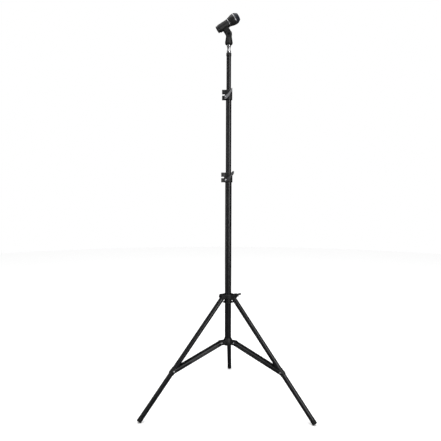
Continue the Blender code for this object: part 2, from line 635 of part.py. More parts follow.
def add_legs(column):
    """Each leg rides on its brace: the pivot at its top is the linkage's open one."""
    shapes = {}
    for name, azimuth in LEG_AZIMUTHS.items():
        x, z = BRACE_INNER_PIVOT
        brace_frame = radial(azimuth) @ Matrix.Translation((x, 0, z))
        brace_frame = brace_frame @ Matrix.Rotation(math.radians(-BRACE_SLOPE), 4, "Y")
        brace_axis = axis_empty(f"brace_{name}_axis", brace_frame, column)
        outer_end = Matrix.Translation((BRACE_LENGTH, 0, 0))
        leg_turn = Matrix.Rotation(math.radians(BRACE_SLOPE - LEG_LEAN), 4, "Y")
        leg_axis = axis_empty(f"leg_{name}_axis", outer_end @ leg_turn, brace_axis)
        to_pivot = Matrix.Translation((LEG_AXIS_INSET, 0, BRACE_JOINT))
        if not shapes:
            tube, fitting, pin, foot = leg_shapes()
            shapes = {
                "leg_tube": (tube, BLACK_TUBE),
                "leg_top": (fitting, BLACK_PLASTIC),
                "leg_pin": (pin, BRIGHT_STEEL),
                "foot_cap": (foot, BLACK_RUBBER),
                "leg_saddle": (saddle_shape(), BLACK_PLASTIC),
                "brace": (brace_shape(), BLACK_STEEL),
                "inner_rivet": (rivet_shape(), BRIGHT_STEEL),
                "outer_rivet": (rivet_shape(), BRIGHT_STEEL),
            }
            places = {"brace": (brace_axis, None), "inner_rivet": (brace_axis, None),
                      "outer_rivet": (brace_axis, outer_end)}
            for piece, (shape, material) in shapes.items():
                parent, place = places.get(piece, (leg_axis, to_pivot))
                shapes[piece] = add_part(f"{piece}_{name}", shape, parent, material, place)
            continue
        for piece in ("leg_tube", "leg_top", "leg_pin", "foot_cap", "leg_saddle"):
            add_copy(f"{piece}_{name}", shapes[piece], leg_axis, to_pivot)
        add_copy(f"brace_{name}", shapes["brace"], brace_axis)
        add_copy(f"inner_rivet_{name}", shapes["inner_rivet"], brace_axis)
        add_copy(f"outer_rivet_{name}", shapes["outer_rivet"], brace_axis, outer_end)


# ---------------------------------------------------------------- top of the stand
def add_spigot(parent):
    tube_top = TOP_TUBE[3]
    inside = TOP_TUBE[0] - TOP_TUBE[1] - GAP
    skirt = TOP_TUBE[0] + GAP
    cap = [(0.0095, SPIGOT_BOTTOM - GAP), (0.0103, SPIGOT_BOTTOM - 0.0010)]
    cap += [(0.0103, tube_top - 0.0040), (skirt, tube_top - 0.0040), (skirt, tube_top + GAP)]
    cap += [(inside, tube_top + GAP), (inside, tube_top - 0.025)]
    cap += [(0.0058, tube_top - 0.025), (0.0058, SPIGOT_BOTTOM - GAP)]
    add_part("top_cap", turned(cap, closed=True), parent, BLACK_PLASTIC)

    top, bottom = SPIGOT_TOP, SPIGOT_BOTTOM
    profile = [(0.0, top + 0.0105), (0.0038, top + 0.0105), (0.0046, top + 0.0095)]
    profile += [(0.0046, top), (0.0076, top), (0.0080, top - 0.0005), (0.0080, top - 0.0072)]
    profile += [(0.0063, top - 0.0106), (0.0063, bottom + 0.0118), (0.0080, bottom + 0.0084)]
    profile += [(0.0080, bottom), (0.0055, bottom), (0.0055, tube_top - 0.024)]
    profile += [(0.0, tube_top - 0.024)]
    add_part("spigot", turned(profile, MEDIUM), parent, BRIGHT_STEEL)


def add_clip_base(parent):
    """Threaded neck with a fork for the cradle's tongue. Local z = 0 is the spigot's top."""
    pivot = CLIP_PIVOT_HEIGHT - SPIGOT_TOP
    start, arm = GAP, CLIP_ARM
    shoulder = pivot - arm - 0.0015
    profile = [(0.0, shoulder), (arm, shoulder), (arm + 0.0004, shoulder - 0.0030)]
    profile += [(0.0152, 0.0100), (0.0152, 0.0050), (0.0125, start)]
    profile += [(0.0069, start), (0.0069, 0.0150), (0.0, 0.0150)]
    neck = turned(profile)
    fork = box((-arm, -FORK_HALF, shoulder - 0.0060), (arm, FORK_HALF, pivot))
    fork = cut(fork, ring(0.03, arm - 0.00005, -0.01, 0.06))
    eye = rod(arm, (0, -FORK_HALF, pivot), (0, FORK_HALF, pivot), LARGE)
    slot = TONGUE_HALF + GAP
    slot = box((-0.02, -slot, shoulder + 0.0008), (0.02, slot, pivot + 0.02))
    hole = rod(BOLT_HOLE, (0, -0.02, pivot), (0, 0.02, pivot))
    neck = cut(joined(neck, fork, eye), slot, hole)
    add_part("clip_base", neck, parent, BLACK_PLASTIC)
    insert = ring(0.0066, 0.0049, start + GAP, 0.0140, SMALL)
    add_part("clip_insert", insert, parent, BRASS)


def add_clip_cradle(parent, base):
    """Spring cradle and tilt bolt. Local space: the tilt pivot is the origin, +X forward."""
    rear, front = MIC_REAR + 0.0080, MIC_REAR + 0.0500
    outer, inner = HANDLE_RADIUS + 0.0026, HANDLE_RADIUS + GAP
    barrel = ring(outer, inner, rear, front, LARGE, 0.0006)
    barrel = moved(barrel, along_x(Matrix.Translation((0, 0, MIC_RISE))))
    arm, bottom = CLIP_ARM, MIC_RISE - outer + 0.0024
    outline = [(-arm, bottom)] + arc((0, 0), arm, 180, 360, 16) + [(arm, bottom)]
    tongue = plate(outline, -TONGUE_HALF, TONGUE_HALF)
    block = box((-arm + BLOCK_RELIEF, -FORK_HALF, 0), (arm - 0.0002, FORK_HALF, bottom))
    block = cut(block, rod(arm + 0.0008, (0, -0.02, 0), (0, 0.02, 0), LARGE))
    mouth = box((rear - 0.01, -0.0098, MIC_RISE + 0.0040), (front + 0.01, 0.0098, MIC_RISE + 0.03))
    hole = rod(BOLT_HOLE, (0, -0.02, 0), (0, 0.02, 0))
    room = rod(inner, (rear - 0.01, 0, MIC_RISE), (front + 0.01, 0, MIC_RISE), LARGE)
    cradle = cut(joined(tongue, block, barrel), mouth, hole, room)
    add_part("clip_cradle", cradle, parent, BLACK_PLASTIC)

    pivot = Matrix.Translation((0, 0, CLIP_PIVOT_HEIGHT - SPIGOT_TOP))
    face = FORK_HALF + GAP
    shank = rod(BOLT_RADIUS, (0, -face - 0.001, 0), (0, face + 0.0045, 0))
    head = rod(TILT_HEAD, (0, -face - 0.0030, 0), (0, -face, 0))
    add_part("tilt_bolt", joined(shank, head), base, BRIGHT_STEEL, pivot)
    nut = rod(TILT_HEAD, (0, face, 0), (0, face + 0.0032, 0), 6)
    nut = cut(nut, rod(BOLT_RADIUS + GAP, (0, 0, 0), (0, 0.03, 0)))
    add_part("tilt_nut", nut, base, BRIGHT_STEEL, pivot)


def add_microphone(parent):
    """Local space: the microphone's rear end is z = 0 and its face is z = MIC_LENGTH."""
    wall, barrel, flare, head = MIC_WALL, HANDLE_END, FLARE_END, RING_END
    radius, wide, face = HANDLE_RADIUS, HEAD_RADIUS, FACE_RADIUS
    body = [(radius, barrel), (radius, 0.0010), (radius - 0.0009, 0.0)]
    body += [(radius - wall, 0.0), (radius - wall, barrel)]
    add_part("mic_handle", turned(body, closed=True), parent, BLACK_PLASTIC)
    add_part(
        "mic_rear_ring", ring(radius + 0.0024, radius - wall, barrel + GAP, barrel + 0.0033),
        parent, GREY_RING,
    )
    line = [(wide - 0.0003, flare), (wide - 0.0005, flare - 0.0040), (wide - 0.0012, flare - 0.0085)]
    line += [(wide - 0.0026, flare - 0.0140), (wide - 0.0041, flare - 0.0190)]
    line += [(radius + 0.0026, barrel + 0.0036)]
    line += [(r - wall, z) for r, z in reversed(line)]
    add_part("mic_head_shell", turned(line, closed=True), parent, BLACK_PLASTIC)
    add_part(
        "mic_front_ring", ring(wide, wide - wall - 0.0008, flare + GAP, head - GAP),
        parent, GREY_RING,
    )
    front = MIC_LENGTH
    skin = [(face, front), (wide - 0.0010, head + 0.0050), (wide - 0.0004, head + 0.0026)]
    skin += [(wide - 0.0004, head)]
    inner_skin = [(wide - 0.0020, head), (wide - 0.0020, head + 0.0038), (face - 0.0008, front - 0.0014)]
    grille = [(0.0, front)] + skin + inner_skin + [(0.0, front - 0.0014)]
    add_part("mic_grille", turned(grille), parent, GRILLE)
    foam = [(0.0, front - 0.0018), (face - 0.0014, front - 0.0018), (wide - 0.0026, head + 0.0036)]
    foam += [(wide - 0.0026, head + 0.0004), (0.0, head + 0.0004)]
    add_part("mic_foam", turned(foam, MEDIUM), parent, FOAM)
    add_part("mic_capsule", rod(CAPSULE_RADIUS, (0, 0, 0.0600), (0, 0, head), MEDIUM), parent, BRIGHT_STEEL)
    insert = rod(radius - wall - GAP, (0, 0, 0.0045), (0, 0, 0.0120), MEDIUM)
    pins = []
    for angle in (90, 210, 330):
        x, y = (PIN_CIRCLE * f(math.radians(angle)) for f in (math.cos, math.sin))
        pins.append(rod(PIN_RADIUS, (x, y, 0.0010), (x, y, 0.0060), 12))
    add_part("mic_connector", joined(insert, *pins), parent, GREY_PLASTIC)


# ---------------------------------------------------------------- assembly
def build():
    column = axis_empty("column_axis", COLUMN)
    add_tube("column_tube", LOWER_TUBE, column)
    add_lower_collar(column)
    add_lock("lower_lock", LOWER_LOCK, column)
    add_legs(column)

    collar = axis_empty("leg_collar_axis", Matrix.Translation((0, 0, COLLAR_BOTTOM)), column)
    add_leg_collar(collar)
    add_clamp_knob(collar)

    middle = axis_empty("middle_section_axis", Matrix(), column)
    add_tube("middle_tube", MIDDLE_TUBE, middle)
    add_guide("middle_tube_guide", MIDDLE_TUBE, LOWER_TUBE, middle)
    add_lock("upper_lock", UPPER_LOCK, middle)

    top = axis_empty("top_section_axis", Matrix(), middle)
    add_tube("top_tube", TOP_TUBE, top)
    add_guide("top_tube_guide", TOP_TUBE, MIDDLE_TUBE, top)
    add_spigot(top)

    swivel = axis_empty("clip_swivel_axis", Matrix.Translation((0, 0, SPIGOT_TOP)), top)
    add_clip_base(swivel)
    tilt_frame = Matrix.Translation((0, 0, CLIP_PIVOT_HEIGHT - SPIGOT_TOP))
    tilt_frame = tilt_frame @ Matrix.Rotation(math.radians(-MIC_TILT), 4, "Y")
    tilt = axis_empty("clip_tilt_axis", tilt_frame, swivel)
    add_clip_cradle(tilt, swivel)
    mic = axis_empty("microphone_axis", along_x(Matrix.Translation((MIC_REAR, 0, MIC_RISE))), tilt)
    add_microphone(mic)


build()
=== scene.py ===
"""Looks for a short microphone in a swivel clip on a three-section stand with folding legs.

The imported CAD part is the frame. Each visible node is replaced by a finer piece made to the
same sizes, which rides on the node's own body. Metres, +Z up.
"""

import json
import math

import bmesh
import bpy
from mathutils import Euler, Matrix, Vector


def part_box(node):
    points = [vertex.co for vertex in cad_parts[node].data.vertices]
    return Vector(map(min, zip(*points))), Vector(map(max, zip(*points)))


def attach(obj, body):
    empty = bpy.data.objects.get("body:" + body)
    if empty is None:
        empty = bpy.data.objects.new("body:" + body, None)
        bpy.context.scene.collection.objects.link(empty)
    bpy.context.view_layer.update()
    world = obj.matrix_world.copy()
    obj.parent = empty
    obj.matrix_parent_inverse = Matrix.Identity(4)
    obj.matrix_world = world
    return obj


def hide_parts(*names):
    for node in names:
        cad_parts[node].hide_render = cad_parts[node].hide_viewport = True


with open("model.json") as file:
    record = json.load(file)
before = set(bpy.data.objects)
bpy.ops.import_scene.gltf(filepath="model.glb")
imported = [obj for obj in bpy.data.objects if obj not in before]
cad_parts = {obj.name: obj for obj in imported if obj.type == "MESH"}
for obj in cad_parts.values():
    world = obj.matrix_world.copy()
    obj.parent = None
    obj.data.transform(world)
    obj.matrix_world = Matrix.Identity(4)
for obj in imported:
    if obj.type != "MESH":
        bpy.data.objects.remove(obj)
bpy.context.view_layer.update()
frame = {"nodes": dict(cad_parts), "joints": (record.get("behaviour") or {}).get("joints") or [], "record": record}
RECORD = frame["record"]
JOINTS = {joint["name"]: joint for joint in frame["joints"]}
BODY_OF = {node: body for body, nodes in RECORD["behaviour"]["bodies"].items() for node in nodes}
SLOT_OF = {row["node"]: row["material_slot"] for row in RECORD["subparts"]}
LEGS = {"rear": 0.0, "right": 120.0, "left": 240.0}  # azimuth in degrees from +Y towards +X
GAP = 0.0003  # between touching pieces
FINE, MEDIUM, SMALL = 96, 64, 40  # sides of large, middling and small round pieces
ARC_STEPS = 24
WELD = 1e-6  # points this close are one
BEVEL_STEPS = 3


def place_of(joint):
    return Vector(JOINTS[joint]["pos_m"])


def middle_of(node):
    low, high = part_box(node)
    return (low + high) / 2


def radial(azimuth):
    """Column space turned so that +X points out at this azimuth."""
    return Matrix.Rotation(math.radians(90.0 - azimuth), 4, "Z")


def along_x(matrix=None):
    """Turns a shape made about Z to lie along +X."""
    return (matrix or Matrix()) @ Matrix.Rotation(math.radians(90), 4, "Y")


CENTRE = middle_of("column_tube").xy.to_3d()
COLUMN = Matrix.Translation(CENTRE)


# ---------------------------------------------------------------- shapes
def as_object(mesh):
    obj = bpy.data.objects.new("shape", mesh)
    bpy.context.scene.collection.objects.link(obj)
    return obj


def from_bmesh(shape):
    mesh = bpy.data.meshes.new("shape")
    shape.to_mesh(mesh)
    shape.free()
    return as_object(mesh)


def baked(obj):
    """The object with its modifiers applied."""
    bpy.context.view_layer.update()
    graph = bpy.context.evaluated_depsgraph_get()
    mesh = bpy.data.meshes.new_from_object(obj.evaluated_get(graph))
    mesh.transform(obj.matrix_world)
    bpy.data.objects.remove(obj, do_unlink=True)
    shape = bmesh.new()
    shape.from_mesh(mesh)
    bmesh.ops.remove_doubles(shape, verts=shape.verts, dist=WELD)
    bpy.data.meshes.remove(mesh)
    return from_bmesh(shape)


def box(low, high):
    shape = bmesh.new()
    bmesh.ops.create_cube(shape, size=1.0)
    size, middle = Vector(high) - Vector(low), (Vector(high) + Vector(low)) / 2
    place = Matrix.Translation(middle) @ Matrix.Diagonal((*size, 1.0))
    bmesh.ops.transform(shape, matrix=place, verts=shape.verts)
    return from_bmesh(shape)


def rod(radius, start, end, sides=SMALL):
    """A cylinder between two points."""
    start, end = Vector(start), Vector(end)
    turn = Vector((0, 0, 1)).rotation_difference(end - start).to_matrix().to_4x4()
    shape = bmesh.new()
    bmesh.ops.create_cone(
        shape,
        cap_ends=True,
        segments=sides,
        radius1=radius,
        radius2=radius,
        depth=(end - start).length,
        matrix=Matrix.Translation((start + end) / 2) @ turn,
    )
    return from_bmesh(shape)


def eased(profile, reach, closed):
    """The profile with a small curve in place of each corner."""
    points = [Vector(point) for point in profile]
    result = []
    for i, corner in enumerate(points):
        before, after = points[i - 1] - corner, points[(i + 1) % len(points)] - corner
        at_end = not closed and i in (0, len(points) - 1)
        if at_end or before.angle(after) > math.radians(170):
            result.append(corner)
            continue
        room = min(reach, 0.45 * before.length, 0.45 * after.length)
        start, end = corner + before.normalized() * room, corner + after.normalized() * room
        for t in (0.0, 0.33, 0.67, 1.0):
            result.append(start * (1 - t) ** 2 + corner * 2 * t * (1 - t) + end * t * t)
    return [(point.x, point.y) for point in result]


def turned(profile, sides=FINE, closed=False, ease=0.0004):
    """A profile of (radius, height) turned about Z: it runs down the outer side, top to bottom."""
    if ease:
        profile = eased(profile, ease, closed)
    edges = [(i, i + 1) for i in range(len(profile) - 1)]
    if closed:
        edges.append((len(profile) - 1, 0))
    mesh = bpy.data.meshes.new("profile")
    mesh.from_pydata([(radius, 0.0, height) for radius, height in profile], edges, [])
    obj = as_object(mesh)
    screw = obj.modifiers.new("turn", "SCREW")
    screw.steps = screw.render_steps = sides
    screw.use_merge_vertices = True
    screw.merge_threshold = WELD
    return baked(obj)


def ring(outer, inner, bottom, top, ease=0.0004):
    profile = [(outer, top), (outer, bottom), (inner, bottom), (inner, top)]
    return turned(profile, FINE, True, ease)


def plate(outline, low, high):
    """A flat outline in the XZ plane, extruded along Y from low to high."""
    shape = bmesh.new()
    near = [shape.verts.new((x, low, z)) for x, z in outline]
    far = [shape.verts.new((x, high, z)) for x, z in outline]
    shape.faces.new(near)
    shape.faces.new(far[::-1])
    for i in range(len(outline)):
        j = (i + 1) % len(outline)
        shape.faces.new((near[j], near[i], far[i], far[j]))
    bmesh.ops.recalc_face_normals(shape, faces=shape.faces)
    return from_bmesh(shape)


def arc(centre, radius, start, end):
    """Points of (x, z) along an arc, angles in degrees from +X towards +Z."""
    turns = [start + (end - start) * i / ARC_STEPS for i in range(ARC_STEPS + 1)]
    angles = [math.radians(turn) for turn in turns]
    return [(centre[0] + radius * math.cos(a), centre[1] + radius * math.sin(a)) for a in angles]


def loft(sections):
    """A closed skin through rings of points, one ring after another."""
    shape = bmesh.new()
    rings = [[shape.verts.new(point) for point in section] for section in sections]
    for a, b in zip(rings, rings[1:]):
        for i in range(len(a)):
            j = (i + 1) % len(a)
            shape.faces.new((a[i], a[j], b[j], b[i]))
    shape.faces.new(rings[0][::-1])
    shape.faces.new(rings[-1])
    bmesh.ops.recalc_face_normals(shape, faces=shape.faces)
    return from_bmesh(shape)


def combined(base, tools, operation):
    for tool in tools:
        boolean = base.modifiers.new("boolean", "BOOLEAN")
        boolean.operation = operation
        boolean.solver = "EXACT"
        boolean.object = tool
    shape = baked(base)
    for tool in tools:
        bpy.data.objects.remove(tool, do_unlink=True)
    return shape


def joined(base, *tools):
    return combined(base, tools, "UNION")


def cut(base, *tools):
    return combined(base, tools, "DIFFERENCE")


def moved(shape, matrix):
    shape.data.transform(matrix)
    return shape


def smooth_path(points, steps=6):
    """Catmull-Rom curve through tuples of any length."""
    result = []
    for i in range(len(points) - 1):
        a, b = points[max(i - 1, 0)], points[i]
        c, d = points[i + 1], points[min(i + 2, len(points) - 1)]
        for step in range(steps):
            t = step / steps
            result.append(tuple(
                0.5 * (2 * q + (r - p) * t + (2 * p - 5 * q + 4 * r - s) * t * t
                       + (3 * q - p - 3 * r + s) * t ** 3)
                for p, q, r, s in zip(a, b, c, d)
            ))
    result.append(tuple(points[-1]))
    return result


# ---------------------------------------------------------------- materials
class Finish:
    """A Principled material whose grain, colour and gloss come from procedural textures."""

    def __init__(self, name, roughness, metallic=0.0, specular=0.5):
        self.material = bpy.data.materials.new(name)
        self.material.use_nodes = True
        self.tree = self.material.node_tree
        self.shader = self.tree.nodes["Principled BSDF"]
        self.shader.inputs["Roughness"].default_value = roughness
        self.shader.inputs["Metallic"].default_value = metallic
        self.shader.inputs["Specular IOR Level"].default_value = specular
        self.object_space = self.add("ShaderNodeTexCoord").outputs["Object"]
        self.height = None

    def add(self, kind, **settings):
        node = self.tree.nodes.new(kind)
        for name, value in settings.items():
            setattr(node, name, value)
        return node

    def link(self, source, target):
        self.tree.links.new(source, target)

    def noise(self, scale, detail=3.0, stretch=(1.0, 1.0, 1.0)):
        """Noise from 0 to 1 in object space; features are about 1 / scale metres across."""
        mapping = self.add("ShaderNodeMapping")
        mapping.inputs["Scale"].default_value = stretch
        self.link(self.object_space, mapping.inputs["Vector"])
        texture = self.add("ShaderNodeTexNoise")
        texture.inputs["Scale"].default_value = scale
        texture.inputs["Detail"].default_value = detail
        self.link(mapping.outputs[0], texture.inputs["Vector"])
        return texture.outputs["Fac"]

    def ranged(self, source, from_low, from_high, low, high):
        node = self.add("ShaderNodeMapRange")
        for name, value in zip(
            ("From Min", "From Max", "To Min", "To Max"), (from_low, from_high, low, high)
        ):
            node.inputs[name].default_value = value
        self.link(source, node.inputs["Value"])
        return node.outputs["Result"]

    def maths(self, operation, first, second=None):
        node = self.add("ShaderNodeMath", operation=operation)
        for socket, value in zip(node.inputs, (first, second)):
            if isinstance(value, (int, float)):
                socket.default_value = value
            elif value is not None:
                self.link(value, socket)
        return node.outputs[0]

    def colour(self, source, dark, light, low=0.35, high=0.65):
        ramp = self.add("ShaderNodeValToRGB")
        ramp.color_ramp.elements[0].position, ramp.color_ramp.elements[1].position = low, high
        ramp.color_ramp.elements[0].color = (*dark, 1.0)
        ramp.color_ramp.elements[1].color = (*light, 1.0)
        self.link(source, ramp.inputs["Fac"])
        self.link(ramp.outputs["Color"], self.shader.inputs["Base Color"])

    def gloss(self, source, smooth, rough):
        roughness = self.ranged(source, 0.35, 0.65, smooth, rough)
        self.link(roughness, self.shader.inputs["Roughness"])

    def relief(self, source, depth):
        """Bump with features this many metres deep; calls stack."""
        bump = self.add("ShaderNodeBump")
        bump.inputs["Distance"].default_value = depth
        self.link(source, bump.inputs["Height"])
        if self.height is not None:
            self.link(self.height, bump.inputs["Normal"])
        self.height = bump.outputs["Normal"]
        self.link(self.height, self.shader.inputs["Normal"])


def satin_tube():
    """Black anodised tube: drawn lengthwise, with fine hairlines."""
    look = Finish("satin_black_tube", 0.36)
    drawn = look.noise(900.0, 4.0, (1.0, 1.0, 0.02))
    cloud = look.noise(35.0, 3.0)
    look.colour(cloud, (0.0058, 0.0058, 0.0064), (0.0082, 0.0082, 0.0092))
    look.gloss(drawn, 0.24, 0.32)
    look.relief(drawn, 0.000004)
    look.relief(look.noise(3500.0, 2.0), 0.0000015)
    return look.material


def moulded(name, dark, light, smooth, rough, grain=1800.0, depth=0.000022):
    """Injection-moulded plastic with a fine spark-eroded grain."""
    look = Finish(name, rough)
    texture = look.noise(grain, 4.0)
    look.colour(look.noise(60.0, 5.0), dark, light)
    look.gloss(texture, smooth, rough)
    look.relief(texture, depth)
    return look.material


def powder_coat():
    """Semi-gloss coat on folded steel, with an orange-peel surface."""
    look = Finish("black_powder_coat", 0.30, specular=0.6)
    peel = look.noise(420.0, 2.0)
    look.colour(look.noise(25.0, 4.0), (0.0050, 0.0050, 0.0055), (0.0080, 0.0080, 0.0088))
    look.gloss(look.noise(150.0, 5.0), 0.27, 0.38)
    look.relief(peel, 0.000035)
    return look.material


def rubber():
    look = Finish("black_rubber", 0.8, specular=0.3)
    grain = look.noise(1500.0, 6.0)
    look.colour(look.noise(120.0, 6.0), (0.0050, 0.0050, 0.0050), (0.0095, 0.0092, 0.0090))
    look.gloss(grain, 0.62, 0.86)
    look.relief(grain, 0.000040)
    return look.material


def bright_metal(name, dark, light, smooth, rough):
    """Plated or turned metal with fine circular tool marks."""
    look = Finish(name, rough, metallic=1.0)
    marks = look.noise(2600.0, 3.0, (0.2, 0.2, 1.0))
    look.colour(look.noise(240.0, 5.0), dark, light)
    look.gloss(marks, smooth, rough)
    look.relief(marks, 0.000002)
    return look.material


def woven(name, around):
    """Black woven wire: a cloth of crossing wires with open holes between them.

    The cloth lies across the face, or wraps round the axis when around is a radius.
    """
    look = Finish(name, 0.42, metallic=0.2, specular=0.25)
    parts = look.add("ShaderNodeSeparateXYZ")
    look.link(look.object_space, parts.inputs[0])
    across, along = parts.outputs["X"], parts.outputs["Y"]
    if around:
        angle = look.maths("ARCTAN2", parts.outputs["Y"], parts.outputs["X"])
        across, along = look.maths("MULTIPLY", angle, around), parts.outputs["Z"]
    wave = 2 * math.pi / WIRE_PITCH
    warp = look.maths("COSINE", look.maths("MULTIPLY", across, wave))
    weft = look.maths("COSINE", look.maths("MULTIPLY", along, wave))
    half_warp = look.maths("COSINE", look.maths("MULTIPLY", across, wave / 2))
    half_weft = look.maths("COSINE", look.maths("MULTIPLY", along, wave / 2))
    cloth = look.maths("MAXIMUM", warp, weft)
    weave = look.maths("MULTIPLY", half_warp, half_weft)
    surface = look.maths("ADD", cloth, look.maths("MULTIPLY", weave, 0.45))
    look.colour(look.noise(260.0, 4.0), (0.014, 0.016, 0.021), (0.024, 0.027, 0.036))
    look.gloss(look.noise(1200.0, 3.0), 0.30, 0.48)
    look.relief(surface, 0.00012)
    solid = look.ranged(cloth, HOLE_EDGE - EDGE_BLUR, HOLE_EDGE + EDGE_BLUR, 0.0, 1.0)
    look.link(solid, look.shader.inputs["Alpha"])
    return look.material


def foam():
    look = Finish("black_foam", 0.95, specular=0.2)
    cells = look.add("ShaderNodeTexVoronoi")
    cells.inputs["Scale"].default_value = 1400.0
    look.link(look.object_space, cells.inputs["Vector"])
    look.colour(cells.outputs["Distance"], (0.006, 0.006, 0.006), (0.024, 0.024, 0.025), 0.1, 0.8)
    look.relief(cells.outputs["Distance"], 0.0003)
    look.gloss(look.noise(500.0, 4.0), 0.88, 0.98)
    return look.material


WIRE_PITCH = 0.00105
HOLE_EDGE, EDGE_BLUR = -0.25, 0.06  # height in the weave where a hole opens
SIDE_RADIUS = 0.0180  # middle radius of the grille's sloping side
LOOKS = {
    "tube": satin_tube(),
    "moulded_black": moulded("moulded_black", (0.005,) * 3, (0.008,) * 3, 0.42, 0.58),
    "lever_plastic": moulded("charcoal", (0.016, 0.016, 0.018), (0.022, 0.022, 0.025), 0.40, 0.55),
    "brace_steel": powder_coat(),
    "foot_rubber": rubber(),
    "bright_steel": bright_metal("bright_nickel", (0.60, 0.60, 0.61), (0.74, 0.74, 0.76), 0.26, 0.40),
    "brass": bright_metal("turned_brass", (0.52, 0.36, 0.14), (0.66, 0.49, 0.22), 0.22, 0.36),
    "mic_body": moulded("satin_black", (0.006,) * 3, (0.009,) * 3, 0.34, 0.46, 3200.0, 0.000008),
    "mic_ring": bright_metal("grey_satin_ring", (0.42, 0.42, 0.43), (0.52, 0.52, 0.53), 0.42, 0.56),
    "mic_grille": woven("woven_face", 0.0),
    "mic_foam": foam(),
}
WOVEN_SIDE = woven("woven_side", SIDE_RADIUS)
BLACKENED = bright_metal("blackened_steel", (0.020, 0.020, 0.022), (0.032, 0.032, 0.035), 0.35, 0.5)
# Paler copy of the lever plastic for the upper lock's lever: a painted highlight standing in for the light line
# along it
UPPER_LEVER_PAINTED_HIGHLIGHT = moulded("grey_plastic", (0.095, 0.095, 0.100), (0.125, 0.125, 0.130), 0.36, 0.50)


# ---------------------------------------------------------------- placing
NODE_LOOKS = {
    # painted highlight: the upper lever is drawn paler than the same lever on the lower lock
    "upper_lock_lever": UPPER_LEVER_PAINTED_HIGHLIGHT,
    "tilt_bolt": BLACKENED,
    "tilt_nut": BLACKENED,
}


def add_skin(node, shape, place, bevel=0.0, smooth=42.0):
    """The finer piece for this CAD node, in place, finished, and riding on the node's body."""
    shape.name = shape.data.name = f"{node}_skin"
    shape.matrix_world = place
    mesh = shape.data
    mesh.materials.clear()
    mesh.materials.append(NODE_LOOKS.get(node, LOOKS[SLOT_OF[node]]))
    mesh.shade_smooth()
    mesh.set_sharp_from_angle(angle=math.radians(smooth))
    if bevel:
        edge = shape.modifiers.new("edges", "BEVEL")
        edge.width, edge.segments = bevel, BEVEL_STEPS
        edge.limit_method, edge.angle_limit = "ANGLE", math.radians(40)
        edge.miter_outer = "MITER_ARC"
        edge.use_clamp_overlap = True
    shape.modifiers.new("normals", "WEIGHTED_NORMAL").keep_sharp = True
    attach(shape, BODY_OF[node])
    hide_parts(node)
    return shape


def finish_cad_nodes():
    """Material for the small CAD nodes that are shown as they are."""
    for node, obj in frame["nodes"].items():
        if not obj.hide_render:
            obj.data.materials.clear()
            obj.data.materials.append(LOOKS[SLOT_OF[node]])


# ---------------------------------------------------------------- column
LOWER_RADIUS, MIDDLE_RADIUS, TOP_RADIUS = 0.0130, 0.0111, 0.00925
TUBE_WALL = 0.0011


def add_column():
    for node, radius in (
        ("column_tube", LOWER_RADIUS), ("middle_tube", MIDDLE_RADIUS), ("top_tube", TOP_RADIUS)
    ):
        low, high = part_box(node)
        add_skin(node, ring(radius, radius - TUBE_WALL, low.z, high.z), COLUMN)


LUG_WIDTH, LUG_REACH = 0.0218, 0.0082
RIVET_HOLE = 0.0028


def add_lower_collar():
    """Bell under the column with a lug for each brace."""
    low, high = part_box("lower_collar")
    bottom, top = low.z, high.z
    pivot = place_of("brace_rear_hinge") - CENTRE
    x, z = pivot.y, pivot.z
    bore = LOWER_RADIUS + GAP
    profile = [(0.0141, top), (0.0152, top - 0.0028), (0.0174, top - 0.0072)]
    profile += [(0.0198, top - 0.0139), (0.0198, bottom + 0.004), (0.0168, bottom)]
    profile += [(bore, bottom), (bore, top)]
    collar = turned(profile, closed=True, ease=0.0016)
    outline = [(0.0150, z - LUG_REACH)] + arc((x, z), LUG_REACH, -90, 90)
    outline += [(0.0150, z + LUG_REACH)]
    lugs, holes = [], []
    for azimuth in LEGS.values():
        lugs.append(moved(plate(outline, -LUG_WIDTH / 2, LUG_WIDTH / 2), radial(azimuth)))
        holes.append(moved(rod(RIVET_HOLE, (x, -0.02, z), (x, 0.02, z)), radial(azimuth)))
    collar = cut(joined(collar, *lugs), *holes)
    add_skin("lower_collar", collar, COLUMN, bevel=0.0006)


LOCK_WALL = 0.0034
LOCK_SEAT, LOCK_LIP = 0.0144, 0.0030  # depth of the sleeve's seat and of the lip over it
LOCKS = {  # tube it sits on, tube inside it, reach of the ears, turn of the slit, ears' slot
    "lower_lock": (LOWER_RADIUS, MIDDLE_RADIUS, 0.0286, 18.0, (0.0170, 0.0228)),
    "upper_lock": (MIDDLE_RADIUS, TOP_RADIUS, 0.0266, 4.0, (0.0166, 0.0238)),
}
EAR_DEPTH = 0.0065
BOLT_HEIGHT = 0.0098
SLIT_HALF = 0.0008
BOLT_RADIUS, BOLT_HOLE, BOLT_HEAD = 0.0020, 0.0023, 0.0038  # lock and tilt bolts
YOKE_RADIUS, YOKE_PIN, YOKE_HALF = 0.0046, 0.0015, 0.0070
YOKE_SLOT_HALF, EYE_HALF = 0.0025, 0.0021  # half heights of the slot and of the eye in it
LEVER_HALF = 0.0015  # half thickness of the lever's arm
TIP_THINNING = (1.0, 0.98, 0.90, 0.72)  # share of the thickness over the last sections
TIP_LIP = (0.0, 0.0003, 0.0009, 0.0018)  # how far the edges draw in over them
CORNER = 0.0011
SCREW_HEAD, SCREW_DRIVE = 0.0026, 0.0012
LEVER_STATIONS = (  # degrees about the column, distance outside the collar, lower and upper height
    (239, 0.0042, 0.0032, 0.0182),
    (252, 0.0040, 0.0068, 0.0216),
    (265, 0.0040, 0.0118, 0.0258),
    (277, 0.0042, 0.0172, 0.0310),
)
LEVER_TIPS = {
    "lower_lock": ((288, 0.0050, 0.0235, 0.0395), (297, 0.0070, 0.0275, 0.0442),
                   (303, 0.0088, 0.0312, 0.0456), (308, 0.0102, 0.0350, 0.0458)),
    "upper_lock": ((288, 0.0050, 0.0230, 0.0375), (297, 0.0068, 0.0285, 0.0432),
                   (304, 0.0092, 0.0330, 0.0462)),
}


